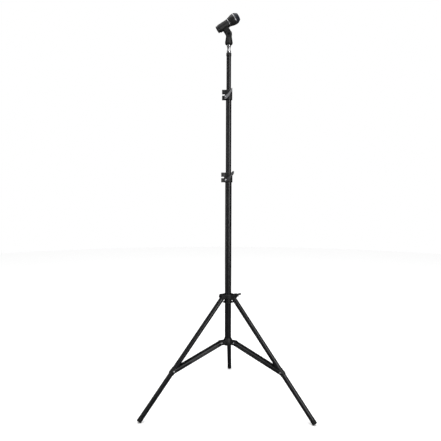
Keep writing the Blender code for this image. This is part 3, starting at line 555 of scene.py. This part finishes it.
def lever_sections(stations):
    """Rounded bar sections along stations of plan x, plan y, lower height, upper height."""
    path = smooth_path(stations)
    sections = []
    for i, (x, y, low, high) in enumerate(path):
        before, after = path[max(i - 1, 0)], path[min(i + 1, len(path) - 1)]
        run = Vector((after[0] - before[0], after[1] - before[1])).normalized()
        side = Vector((-run.y, run.x))
        near_tip = max(0, 3 - (len(path) - 1 - i))
        thick = LEVER_HALF * TIP_THINNING[near_tip]
        low, high = low + TIP_LIP[near_tip], high - TIP_LIP[near_tip]
        ease = min(CORNER, thick * 0.8)
        corner = [
            (thick, low + ease), (thick - ease * 0.3, low + ease * 0.3), (thick - ease, low),
            (ease - thick, low), (ease * 0.3 - thick, low + ease * 0.3), (-thick, low + ease),
            (-thick, high - ease), (ease * 0.3 - thick, high - ease * 0.3), (ease - thick, high),
            (thick - ease, high), (thick - ease * 0.3, high - ease * 0.3), (thick, high - ease),
        ]
        sections.append([(x + side.x * a, y + side.y * a, z) for a, z in corner])
    return sections


def add_lock(name):
    """Split clamp collar with slotted ears, its cross bolt and the cam lever on its pin."""
    outer_tube, inner_tube, reach, turn, ear_slot = LOCKS[name]
    low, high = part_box(f"{name}_body")
    height = high.z - low.z
    place = COLUMN @ Matrix.Translation((0, 0, low.z))
    place = place @ Matrix.Rotation(math.radians(turn), 4, "Z")
    wall = outer_tube + LOCK_WALL
    tube_end, lip = height - LOCK_SEAT, height - LOCK_LIP
    bolt_x, bolt_z = -(outer_tube + 0.0027), BOLT_HEIGHT
    pin = Vector((bolt_x, -(EAR_DEPTH + YOKE_RADIUS + 0.0005)))
    yoke_low, yoke_high = bolt_z - YOKE_HALF, bolt_z + YOKE_HALF
    slot_low, slot_high = bolt_z - YOKE_SLOT_HALF, bolt_z + YOKE_SLOT_HALF

    chamfer = 0.0014
    profile = [(wall - chamfer, height), (wall, height - chamfer), (wall, chamfer)]
    profile += [(wall - chamfer, 0.0), (outer_tube + GAP, 0.0), (outer_tube + GAP, tube_end)]
    profile += [(outer_tube + 0.0002, tube_end), (outer_tube + 0.0002, lip)]
    profile += [(inner_tube + 0.0005, lip), (inner_tube + 0.0005, height)]
    body = turned(profile, closed=True, ease=0.0007)
    ears = box(
        (-reach, -EAR_DEPTH, 0.0004), (-outer_tube - 0.0008, EAR_DEPTH, height - 0.0004)
    )
    slot = box((-0.04, -0.02, ear_slot[0]), (-wall - 0.0006, 0.02, ear_slot[1]))
    slit = box((-0.04, -SLIT_HALF, -0.01), (-inner_tube, SLIT_HALF, height + 0.01))
    bolt_hole = rod(BOLT_HOLE, (bolt_x, -0.03, bolt_z), (bolt_x, 0.03, bolt_z))
    yoke_room = rod(
        YOKE_RADIUS + 0.0004, (*pin, yoke_low - GAP), (*pin, yoke_high + GAP), MEDIUM
    )
    head_room = rod(0.0042, (bolt_x, EAR_DEPTH, bolt_z), (bolt_x, 0.03, bolt_z))
    body = cut(joined(body, ears), slot, slit, bolt_hole, yoke_room, head_room)
    add_skin(f"{name}_body", body, place, bevel=0.0006)

    back = EAR_DEPTH + GAP
    shank = rod(BOLT_RADIUS, (bolt_x, pin.y, bolt_z), (bolt_x, back + 0.0020, bolt_z))
    head = rod(BOLT_HEAD, (bolt_x, back, bolt_z), (bolt_x, back + 0.0033, bolt_z), 6)
    eye = rod(0.0036, (bolt_x, pin.y, bolt_z - EYE_HALF), (bolt_x, pin.y, bolt_z + EYE_HALF))
    pin_hole = rod(YOKE_PIN + GAP, (bolt_x, pin.y, -0.01), (bolt_x, pin.y, 0.05))
    add_skin(f"{name}_bolt", cut(joined(shank, head, eye), pin_hole), place, bevel=0.0003)

    hinge = place @ Matrix.Translation((pin.x, pin.y, 0))
    shaft = turned(
        [(0.0, yoke_high - 0.0005), (YOKE_PIN, yoke_high - 0.0005),
         (YOKE_PIN, yoke_low + 0.0005), (0.0, yoke_low + 0.0005)], SMALL, ease=0.0003
    )
    add_skin(f"{name}_pin", shaft, hinge)

    stations = [(-0.0022, -0.0031, 0.0031, 0.0165), (0.0024, -0.0031, 0.0031, 0.0168)]
    for angle, away, low, high in LEVER_STATIONS + LEVER_TIPS[name]:
        x = (wall + away) * math.cos(math.radians(angle)) - pin.x
        y = (wall + away) * math.sin(math.radians(angle)) - pin.y
        stations.append((x, y, low, high))
    arm = loft(lever_sections(stations))
    yoke = []
    for a, b in ((yoke_low, slot_low), (slot_high, yoke_high)):
        outline = [(0.0, b), (YOKE_RADIUS, b), (YOKE_RADIUS, a), (0.0, a)]
        yoke.append(turned(outline, MEDIUM, ease=0.0006))
    eye_room = rod(0.0040, (0, 0, slot_low), (0, 0, slot_high), MEDIUM)
    hole = rod(YOKE_PIN + GAP, (0, 0, -0.01), (0, 0, 0.05))
    add_skin(f"{name}_lever", cut(joined(arm, *yoke), eye_room, hole), hinge, smooth=48.0)

    # Bright screw with a domed head and a drive recess, set in the front of the yoke
    dome = [(0.0, 0.0012), (0.0016, 0.0010), (SCREW_HEAD, 0.0003), (SCREW_HEAD, 0.0), (0.0, 0.0)]
    head = turned(dome, SMALL, ease=0.0001)
    drive = rod(SCREW_DRIVE, (0, 0, 0.0004), (0, 0, 0.004), 6)
    face = Matrix.Translation((0.0, -YOKE_RADIUS, bolt_z)) @ Matrix.Rotation(
        math.radians(90), 4, "X"
    )
    screw = moved(cut(head, drive), face)
    screw.matrix_world = hinge
    screw.name = f"{name}_screw"
    screw.data.materials.clear()
    screw.data.materials.append(LOOKS["bright_steel"])
    screw.data.shade_smooth()
    screw.data.set_sharp_from_angle(angle=math.radians(40))
    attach(screw, BODY_OF[f"{name}_lever"])


# ---------------------------------------------------------------- sliding leg collar
CHEEK_GAP, CHEEK_THICKNESS = 0.0200, 0.0030
KNOB_AZIMUTH, KNOB_TURN, KNOB_FACE = 60.0, 60.0, 0.0291
SHOE_END, SHOE_TRAVEL = 0.0191, 0.0015
SHOE_RADIUS, STUD_RADIUS, STUD_TIP = 0.0040, 0.0030, 0.0130
HUB_BORE_END = 0.0133
WING_HALF = 0.0033  # half thickness of the knob's wings
ARM_HEIGHT = 0.0174  # of the collar's arms


def add_leg_collar():
    low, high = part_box("leg_collar")
    bottom = low.z
    height = high.z - bottom
    block = height - ARM_HEIGHT
    pivot = middle_of("leg_pin_rear") - CENTRE
    x, z = pivot.y, pivot.z - bottom
    knob_z = place_of("knob_turn").z - bottom
    bore = LOWER_RADIUS + GAP
    sleeve = bore + 0.0014
    top, under = height - 0.0005, block + 0.0005
    profile = [(0.0215, top), (0.0230, top - 0.0015), (0.0230, under + 0.001), (0.0215, under)]
    profile += [(sleeve + 0.0006, under), (sleeve + 0.0006, 0.0055), (0.0205, 0.0050)]
    profile += [(0.0220, 0.0035), (0.0220, 0.0015), (0.0205, 0.0), (bore, 0.0), (bore, top)]
    collar = turned(profile, closed=True, ease=0.0005)
    boss = rod(0.0058, (0.0140, 0, knob_z), (0.0270, 0, knob_z))
    tools = [moved(boss, radial(KNOB_AZIMUTH))]
    inside, outside = CHEEK_GAP / 2, CHEEK_GAP / 2 + CHEEK_THICKNESS
    outline = [(0.0165, block), (x, block)] + arc((x, z), z - block, -84, 12)
    outline += [(x + 0.0048, height - 0.0015), (x + 0.0030, height), (0.0165, height)]
    for azimuth in LEGS.values():
        arm = plate(outline, -outside, outside)
        heads = rod(0.0050, (x, -outside - 0.0016, z), (x, outside + 0.0016, z))
        tools.append(moved(joined(arm, heads), radial(azimuth)))
    for tool in tools:
        collar = joined(collar, tool)
    for azimuth in LEGS.values():  # the slots stop just off the sleeve's face
        slot = box((sleeve + 0.00007, -inside, -0.0103), (0.0507, inside, 0.0509))
        collar = cut(collar, moved(slot, radial(azimuth)))
    screw_hole = rod(STUD_RADIUS + GAP, (0.0, 0, knob_z), (0.05, 0, knob_z))
    pocket_end = SHOE_END + SHOE_TRAVEL + GAP
    shoe_pocket = rod(SHOE_RADIUS + GAP, (0.0, 0, knob_z), (pocket_end, 0, knob_z))
    collar = cut(
        collar, moved(screw_hole, radial(KNOB_AZIMUTH)), moved(shoe_pocket, radial(KNOB_AZIMUTH))
    )
    add_skin("leg_collar", collar, COLUMN @ Matrix.Translation((0, 0, bottom)), bevel=0.0005)


def add_knob():
    """Wing knob on its stud. Local space: +X points out from the knob's inner face."""
    height = place_of("knob_turn").z
    place = COLUMN @ Matrix.Translation((0, 0, height)) @ radial(KNOB_AZIMUTH)
    place = place @ Matrix.Translation((KNOB_FACE, 0, 0))
    hub = [(0.0, 0.0152), (0.0048, 0.0150), (0.0072, 0.0130), (0.0078, 0.0030), (0.0064, 0.0)]
    hub += [(STUD_RADIUS + GAP, 0.0), (STUD_RADIUS + GAP, HUB_BORE_END), (0.0, HUB_BORE_END)]
    hub = moved(turned(hub, MEDIUM, ease=0.0008), along_x())
    wing = [(0.0050, 0.0045), (0.0085, 0.0062), (0.0150, 0.0105), (0.0225, 0.0142)]
    wing += [(0.0255, 0.0134), (0.0262, 0.0102), (0.0228, 0.0062), (0.0178, 0.0028), (0.0145, 0.0)]
    wing = smooth_path(wing, 5)
    outline = wing + [(x, -z) for x, z in reversed(wing[:-1])] + [(0.0050, 0.0)]
    wings = plate(outline, -WING_HALF, WING_HALF)
    stud_room = rod(STUD_RADIUS + GAP, (-0.001, 0, 0), (HUB_BORE_END, 0, 0))
    knob = cut(joined(hub, wings), stud_room)
    knob = moved(knob, Matrix.Rotation(math.radians(KNOB_TURN), 4, "X"))
    add_skin("leg_knob", knob, place, bevel=0.0011)
    start, end = SHOE_END + GAP - KNOB_FACE, STUD_TIP
    stud = turned([(0.0, end), (STUD_RADIUS, end), (STUD_RADIUS, start), (0.0, start)], SMALL)
    add_skin("knob_stud", moved(stud, along_x()), place)


# ---------------------------------------------------------------- legs and braces
LEG_RADIUS, LEG_WALL, LEG_AXIS_INSET = 0.0095, 0.0011, 0.00475
FOOT_END_HEIGHT, FOOT_HEAD = 0.0040, 0.0160
BRACE_WIDTH, BRACE_DEPTH, BRACE_SHEET = 0.0256, 0.0140, 0.0015
SHOULDER, SHOULDER_STEPS = 0.0035, 8  # round edge between a brace's web and its flanges
GROOVE_RADIUS, GROOVE_DEPTH = 0.0024, 0.0011  # pressed along both flanges of a brace
GROOVE_START, GROOVE_SHARE = 0.0170, 0.66  # from the inner pivot, and share of the brace's length
SADDLE_LENGTH = 0.0270
PIVOT_PIN = 0.0030  # radius of the pin at each leg's top
RIVET_RADIUS, RIVET_HEAD = 0.0025, 0.0046


def plane_run(start, end):
    """Length and slope in degrees of a run between two points of one leg's upright plane."""
    step = end - start
    across = step.xy.length
    return math.hypot(across, step.z), math.degrees(math.atan2(step.z, across))


def add_leg(side, azimuth):
    top, joint = middle_of(f"leg_pin_{side}"), place_of(f"leg_{side}_hinge")
    reach, slope = plane_run(top, joint)
    lean = 90.0 + slope + math.degrees(math.asin(LEG_AXIS_INSET / reach))
    joint_at = math.sqrt(reach**2 - LEG_AXIS_INSET**2)
    axis_top = top.z - LEG_AXIS_INSET * math.sin(math.radians(lean))
    length = (axis_top - FOOT_END_HEIGHT) / math.cos(math.radians(lean))
    place = Matrix.Translation(top) @ radial(azimuth)
    place = place @ Matrix.Rotation(math.radians(-lean), 4, "Y")
    tube_place = place @ Matrix.Translation((-LEG_AXIS_INSET, 0, 0))
    inside = LEG_RADIUS - LEG_WALL
    tube_top, tube_bottom = -0.0075, -(length - FOOT_HEAD)

    tube = ring(LEG_RADIUS, inside, tube_bottom, tube_top, 0.0003)
    hole = rod(RIVET_HOLE, (0, -0.02, -joint_at), (0, 0.02, -joint_at))
    add_skin(f"leg_tube_{side}", cut(tube, hole), tube_place)

    half = CHEEK_GAP / 2 - 0.0006
    plug = rod(inside - GAP, (0, 0, tube_top - 0.022), (0, 0, tube_top + 0.001), MEDIUM)
    outline = arc((LEG_AXIS_INSET, 0), 0.0072, 8, 190)
    edge = LEG_RADIUS - 0.0006
    outline += [(-edge, tube_top + 0.0030), (-edge, tube_top + GAP), (edge, tube_top + GAP)]
    knuckle = plate(outline, -half, half)
    trim = rod(LEG_RADIUS + 0.0004, (0, 0, -0.02), (0, 0, 0.02), MEDIUM)
    keep = joined(trim, box((-0.02, -half, -0.0030), (0.03, half, 0.02)))
    fitting = joined(plug, combined(knuckle, [keep], "INTERSECT"))
    pin_hole = rod(PIVOT_PIN + GAP, (LEG_AXIS_INSET, -0.02, 0), (LEG_AXIS_INSET, 0.02, 0))
    add_skin(f"leg_top_{side}", cut(fitting, pin_hole), tube_place, bevel=0.0004)

    head, stem, end, neck = LEG_RADIUS + 0.0002, inside - GAP, -length, tube_bottom - GAP
    cap = [(0.0, neck + 0.020), (stem - 0.0008, neck + 0.020), (stem, neck + 0.0185)]
    cap += [(stem, neck), (head - 0.0006, neck), (head, neck - 0.0006), (head, end + 0.0008)]
    cap += [(head - 0.0008, end), (0.0, end)]
    cap = turned(cap, FINE, ease=0.0003)
    floor = box((-0.1, -0.1, -0.1), (0.1, 0.1, 0.0))
    foot = tube_place @ Vector((0, 0, end))
    floor = moved(floor, tube_place.inverted() @ Matrix.Translation((foot.x, foot.y, 0)))
    add_skin(f"foot_cap_{side}", cut(cap, floor), tube_place)

    radius, long = LEG_RADIUS + GAP, SADDLE_LENGTH
    sleeve = ring(LUG_WIDTH / 2, radius, -long / 2, long / 2, 0.0006)
    tab = box((LEG_RADIUS, -0.0032, -0.0105), (LUG_WIDTH / 2 + 0.0011, 0.0032, -0.0005))
    hollow = rod(radius, (0, 0, -0.03), (0, 0, 0.03), FINE)
    saddle = cut(joined(sleeve, tab), hollow, rod(RIVET_HOLE, (0, -0.02, 0), (0, 0.02, 0)))
    saddle_place = tube_place @ Matrix.Translation((0, 0, -joint_at))
    add_skin(f"leg_saddle_{side}", saddle, saddle_place, bevel=0.0006)


def brace_shape(length):
    """Folded channel: the inner pivot is the origin, the outer along +X, the web on top."""
    half, depth, sheet = BRACE_WIDTH / 2, BRACE_DEPTH / 2, BRACE_SHEET
    section = [(-half, -depth), (-half, depth - SHOULDER)]
    for i in range(1, SHOULDER_STEPS):
        a = math.radians(90 * i / SHOULDER_STEPS)
        section.append((
            -half + SHOULDER * (1 - math.cos(a)), depth - SHOULDER + SHOULDER * math.sin(a)
        ))
    section.append((-half + SHOULDER, depth))
    section += [(-y, z) for y, z in reversed(section)]
    start, end = -depth, length + depth
    outer = loft([[(x, y, z) for y, z in section] for x in (start, end)])
    room = box((start - 0.01, -half + sheet, -0.02), (end + 0.01, half - sheet, depth - sheet))
    inner_mouth = box((start - 0.01, -half + sheet, 0.0), (0.0145, half - sheet, 0.02))
    outer_mouth = box((length - 0.0400, -half + sheet, 0.0), (end + 0.01, half - sheet, 0.02))
    channel = cut(outer, room, inner_mouth, outer_mouth)
    keep = arc((0, 0), depth, 90, 270) + arc((length, 0), depth, -90, 90)
    channel = combined(channel, [plate(keep, -0.02, 0.02)], "INTERSECT")
    groove_y = half - GROOVE_DEPTH + GROOVE_RADIUS
    groove_end = length * GROOVE_SHARE
    grooves = [rod(GROOVE_RADIUS, (GROOVE_START, y, 0), (groove_end, y, 0))
               for y in (-groove_y, groove_y)]
    holes = [rod(RIVET_HOLE, (x, -0.02, 0), (x, 0.02, 0)) for x in (0.0, length)]
    return cut(channel, *grooves, *holes)


def rivet_shape():
    """Rivet along Y with a domed head outside each flange."""
    half, head, shank = BRACE_WIDTH / 2 + GAP, RIVET_HEAD, RIVET_RADIUS
    dome = [(head * math.sin(a), half + 0.0004 + 0.0014 * math.cos(a))
            for a in (math.radians(90 * i / 8) for i in range(9))]
    profile = dome + [(head, half), (shank, half), (shank, -half), (head, -half)]
    profile += [(r, -y) for r, y in reversed(dome)]
    return moved(turned(profile, SMALL, ease=0.0), Matrix.Rotation(math.radians(90), 4, "X"))


def add_brace(side, azimuth):
    inner, outer = place_of(f"brace_{side}_hinge"), place_of(f"leg_{side}_hinge")
    length, slope = plane_run(inner, outer)
    place = Matrix.Translation(inner) @ radial(azimuth)
    place = place @ Matrix.Rotation(math.radians(-slope), 4, "Y")
    add_skin(f"brace_{side}", brace_shape(length), place, bevel=0.0004)
    add_skin(f"inner_rivet_{side}", rivet_shape(), place)
    add_skin(f"outer_rivet_{side}", rivet_shape(), place @ Matrix.Translation((length, 0, 0)))


# ---------------------------------------------------------------- top of the stand
def add_spigot():
    low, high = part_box("top_cap")
    tube_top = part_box("top_tube")[1].z
    inside = TOP_RADIUS - TUBE_WALL - GAP
    bottom = high.z + GAP  # of the spigot's shoulder
    skirt = TOP_RADIUS + GAP
    cap = [(0.0095, high.z), (0.0103, high.z - 0.0008), (0.0103, tube_top - 0.0040)]
    cap += [(skirt, tube_top - 0.0040), (skirt, tube_top + GAP), (inside, tube_top + GAP)]
    cap += [(inside, low.z), (0.0058, low.z), (0.0058, high.z)]
    add_skin("top_cap", turned(cap, closed=True), COLUMN)
    low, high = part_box("spigot")
    top = high.z - SPIGOT_STUD
    profile = [(0.0, high.z), (0.0038, high.z), (0.0046, high.z - 0.0010)]
    profile += [(0.0046, top), (0.0080, top), (0.0080, top - 0.0072), (0.0063, top - 0.0106)]
    profile += [(0.0063, bottom + 0.0118), (0.0080, bottom + 0.0084), (0.0080, bottom)]
    profile += [(0.0055, bottom), (0.0055, low.z), (0.0, low.z)]
    add_skin("spigot", turned(profile), COLUMN)


SPIGOT_STUD = 0.0105  # height of the threaded stud over the spigot's top
CLIP_ARM, FORK_HALF, TONGUE_HALF = 0.0125, 0.0092, 0.0039
BLOCK_RELIEF = 0.0042
TILT_HEAD = 0.0046  # radius of the tilt bolt's head and nut
MIC_RISE, MIC_REAR, MIC_LENGTH = 0.0387, -0.0301, 0.0990
HANDLE_RADIUS, HEAD_RADIUS, FACE_RADIUS = 0.0138, 0.0219, 0.0142
HANDLE_END, FLARE_END, RING_END = 0.0507, 0.0785, 0.0828  # along the microphone, from its rear
MIC_WALL, CLOTH_THICKNESS = 0.0015, 0.0006
PIN_CIRCLE, PIN_RADIUS = 0.0058, 0.0012


def tilt_matrix():
    """The cradle's space: the tilt pivot is the origin, and +X runs with the microphone."""
    forward = Vector(JOINTS["microphone_slide"]["axis"])
    tilt = math.atan2(forward.z, forward.x)
    return Matrix.Translation(place_of("clip_tilt")) @ Matrix.Rotation(-tilt, 4, "Y")


def add_clip():
    """Threaded neck with a fork, and the spring cradle that tilts in it."""
    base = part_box("clip_base")[0].z - GAP
    place = COLUMN @ Matrix.Translation((0, 0, base))
    pivot = place_of("clip_tilt").z - base
    arm = CLIP_ARM
    shoulder = pivot - arm - 0.0015
    profile = [(0.0, shoulder), (arm, shoulder), (arm + 0.0004, shoulder - 0.0030)]
    profile += [(0.0152, 0.0100), (0.0152, 0.0050), (0.0125, GAP)]
    profile += [(0.0069, GAP), (0.0069, 0.0150), (0.0, 0.0150)]
    neck = turned(profile, ease=0.0012)
    fork = box((-arm, -FORK_HALF, shoulder - 0.0060), (arm, FORK_HALF, pivot))
    fork = cut(fork, ring(0.03, arm - 0.00005, -0.01, 0.06))
    eye = rod(arm, (0, -FORK_HALF, pivot), (0, FORK_HALF, pivot), FINE)
    slot = TONGUE_HALF + GAP
    slot = box((-0.02, -slot, shoulder + 0.0008), (0.02, slot, pivot + 0.02))
    hole = rod(BOLT_HOLE, (0, -0.02, pivot), (0, 0.02, pivot))
    add_skin("clip_base", cut(joined(neck, fork, eye), slot, hole), place, bevel=0.0005)

    rear, front = MIC_REAR + 0.0080, MIC_REAR + 0.0500
    outer, inner = HANDLE_RADIUS + 0.0026, HANDLE_RADIUS + GAP
    barrel = ring(outer, inner, rear, front, 0.0007)
    barrel = moved(barrel, along_x(Matrix.Translation((0, 0, MIC_RISE))))
    bottom = MIC_RISE - outer + 0.0024
    outline = [(-arm, bottom)] + arc((0, 0), arm, 180, 360) + [(arm, bottom)]
    tongue = plate(outline, -TONGUE_HALF, TONGUE_HALF)
    block = box((-arm + BLOCK_RELIEF, -FORK_HALF, 0), (arm - 0.0002, FORK_HALF, bottom))
    block = cut(block, rod(arm + 0.0008, (0, -0.02, 0), (0, 0.02, 0), FINE))
    mouth = box((rear - 0.01, -0.0098, MIC_RISE + 0.0040), (front + 0.01, 0.0098, MIC_RISE + 0.03))
    hole = rod(BOLT_HOLE, (0, -0.02, 0), (0, 0.02, 0))
    room = rod(inner, (rear - 0.01, 0, MIC_RISE), (front + 0.01, 0, MIC_RISE), FINE)
    cradle = cut(joined(tongue, block, barrel), mouth, hole, room)
    add_skin("clip_cradle", cradle, tilt_matrix(), bevel=0.0005)

    face = FORK_HALF + GAP
    place = place @ Matrix.Translation((0, 0, pivot))
    shank = rod(BOLT_RADIUS, (0, -face - 0.001, 0), (0, face + 0.0045, 0))
    head = rod(TILT_HEAD, (0, -face - 0.0030, 0), (0, -face, 0))
    add_skin("tilt_bolt", joined(shank, head), place, bevel=0.0005)
    nut = rod(TILT_HEAD, (0, face, 0), (0, face + 0.0032, 0), 6)
    nut = cut(nut, rod(BOLT_RADIUS + GAP, (0, 0, 0), (0, 0.03, 0)))
    add_skin("tilt_nut", nut, place, bevel=0.0003)


def add_microphone():
    """Local space: the microphone's rear end is z = 0 and its face is z = MIC_LENGTH."""
    place = along_x(tilt_matrix() @ Matrix.Translation((MIC_REAR, 0, MIC_RISE)))
    wall, barrel, flare, head = MIC_WALL, HANDLE_END, FLARE_END, RING_END
    radius, wide, face, front = HANDLE_RADIUS, HEAD_RADIUS, FACE_RADIUS, MIC_LENGTH
    body = [(radius, barrel), (radius, 0.0), (radius - wall, 0.0), (radius - wall, barrel)]
    add_skin("mic_handle", turned(body, closed=True, ease=0.0006), place)
    rear_ring = ring(radius + 0.0024, radius - wall, barrel + GAP, barrel + 0.0033)
    add_skin("mic_rear_ring", rear_ring, place)
    line = [(wide - 0.0003, flare), (wide - 0.0005, flare - 0.0040)]
    line += [(wide - 0.0012, flare - 0.0085), (wide - 0.0026, flare - 0.0140)]
    line += [(wide - 0.0041, flare - 0.0190), (radius + 0.0026, barrel + 0.0036)]
    line = smooth_path(line, 4)
    line += [(r - wall, z) for r, z in reversed(line)]
    add_skin("mic_head_shell", turned(line, closed=True, ease=0.0003), place)
    front_ring = ring(wide, wide - wall - 0.0008, flare + GAP, head - GAP)
    add_skin("mic_front_ring", front_ring, place)

    cloth = [(0.0, front), (face, front), (wide - 0.0010, head + 0.0050)]
    cloth += [(wide - 0.0004, head + 0.0026), (wide - 0.0004, head)]
    cloth += [(wide - 0.0010, head), (wide - 0.0010, head + 0.0026)]
    cloth_back = front - CLOTH_THICKNESS
    cloth += [(wide - 0.0016, head + 0.0047), (face - 0.0003, cloth_back), (0.0, cloth_back)]
    grille = add_skin("mic_grille", turned(cloth, ease=0.0010), place)
    grille.data.materials.append(WOVEN_SIDE)
    for polygon in grille.data.polygons:
        polygon.material_index = 0 if abs(polygon.normal.z) > 0.9 else 1
    pad = [(0.0, front - 0.0018), (face - 0.0014, front - 0.0018), (wide - 0.0026, head + 0.0036)]
    pad += [(wide - 0.0026, head + 0.0004), (0.0, head + 0.0004)]
    add_skin("mic_foam", turned(pad), place)

    insert = rod(radius - wall - GAP, (0, 0, 0.0045), (0, 0, 0.0120), MEDIUM)
    pins = []
    for angle in (90, 210, 330):
        x, y = (PIN_CIRCLE * f(math.radians(angle)) for f in (math.cos, math.sin))
        pins.append(rod(PIN_RADIUS, (x, y, 0.0010), (x, y, 0.0060)))
    add_skin("mic_connector", joined(insert, *pins), place, bevel=0.0003)


# ---------------------------------------------------------------- camera and light
CAMERA_DISTANCE, CAMERA_HEIGHT = 1.8881, 0.8457
CAMERA_YAW, CAMERA_DIP = 1.24, 2.8186  # degrees anticlockwise of +Y, and below the horizontal
CAMERA_ROLL = 0.19  # degrees
CAMERA_LENS = 37.92  # mm on a 36 mm sensor
COLUMN_OFFSET = 0.01765  # the column stands this share of the frame right of its middle
LOOK_AT = CENTRE + Vector((0, 0, 0.8))
ROOM_STRENGTH = 0.02  # of the dim room that the stand mirrors
FLOOR_RADIUS, FLOOR_DROP = 6.0, 0.0003
SOFTBOXES = {  # place from the column, target, width and height, watts
    "key": ((1.3, -1.9, 1.3), LOOK_AT, (0.6, 2.2), 26),
    "fill": ((-2.1, -1.4, 1.2), LOOK_AT, (0.5, 2.0), 7),
    "top": ((0.0, -0.2, 3.0), CENTRE, (2.6, 2.6), 40),
}


def add_camera():
    data = bpy.data.cameras.new("camera")
    data.lens, data.sensor_width = CAMERA_LENS, 36.0
    data.shift_x = -COLUMN_OFFSET
    data.clip_start, data.clip_end = 0.05, 50.0
    camera = bpy.data.objects.new("camera", data)
    yaw = math.radians(CAMERA_YAW)
    away = Vector((math.sin(yaw), -math.cos(yaw), 0)) * CAMERA_DISTANCE
    camera.location = CENTRE + away + Vector((0, 0, CAMERA_HEIGHT))
    aim = Euler((math.radians(90 - CAMERA_DIP), 0.0, yaw)).to_matrix()
    camera.rotation_euler = (aim @ Matrix.Rotation(math.radians(CAMERA_ROLL), 3, "Z")).to_euler()
    bpy.context.scene.collection.objects.link(camera)
    bpy.context.scene.camera = camera


def add_softbox(name, offset, target, size, power):
    data = bpy.data.lights.new(name, "AREA")
    data.shape = "RECTANGLE"
    data.size, data.size_y = size
    data.energy = power
    light = bpy.data.objects.new(name, data)
    light.location = CENTRE + Vector(offset)
    light.rotation_euler = (target - light.location).to_track_quat("-Z", "Y").to_euler()
    bpy.context.scene.collection.objects.link(light)


def add_studio():
    """A white sweep to the eye and over the floor, and a dimmer room in what the stand mirrors."""
    world = bpy.data.worlds.new("studio")
    bpy.context.scene.world = world
    world.use_nodes = True
    tree = world.node_tree
    tree.nodes.clear()
    out, mix = tree.nodes.new("ShaderNodeOutputWorld"), tree.nodes.new("ShaderNodeMixShader")
    path = tree.nodes.new("ShaderNodeLightPath")
    seen, room = tree.nodes.new("ShaderNodeBackground"), tree.nodes.new("ShaderNodeBackground")
    seen.inputs["Color"].default_value = (1.0, 1.0, 1.0, 1.0)
    room.inputs["Color"].default_value = (0.95, 0.97, 1.0, 1.0)
    room.inputs["Strength"].default_value = ROOM_STRENGTH
    direct = tree.nodes.new("ShaderNodeMath")
    direct.operation = "MAXIMUM"
    tree.links.new(path.outputs["Is Camera Ray"], direct.inputs[0])
    tree.links.new(path.outputs["Is Diffuse Ray"], direct.inputs[1])
    tree.links.new(direct.outputs[0], mix.inputs[0])
    tree.links.new(room.outputs[0], mix.inputs[1])
    tree.links.new(seen.outputs[0], mix.inputs[2])
    tree.links.new(mix.outputs[0], out.inputs[0])
    for name, settings in SOFTBOXES.items():
        add_softbox(name, *settings)

    shape = bmesh.new()
    bmesh.ops.create_circle(shape, cap_ends=True, segments=128, radius=FLOOR_RADIUS)
    floor = from_bmesh(shape)
    floor.name = "floor"
    floor.location = (0.0, 0.0, -FLOOR_DROP)
    look = Finish("white_floor", 0.9, specular=0.1)
    grain = look.noise(60.0, 4.0)
    look.colour(grain, (0.965, 0.965, 0.965), (0.985, 0.985, 0.985))
    look.gloss(grain, 0.86, 0.94)
    floor.data.materials.append(look.material)
    floor.visible_glossy = False


# ---------------------------------------------------------------- assembly
bpy.context.scene.view_settings.view_transform = "Standard"
add_column()
add_lower_collar()
for lock in LOCKS:
    add_lock(lock)
add_leg_collar()
add_knob()
for side, azimuth in LEGS.items():
    add_leg(side, azimuth)
    add_brace(side, azimuth)
add_spigot()
add_clip()
add_microphone()
finish_cad_nodes()
add_camera()
add_studio()
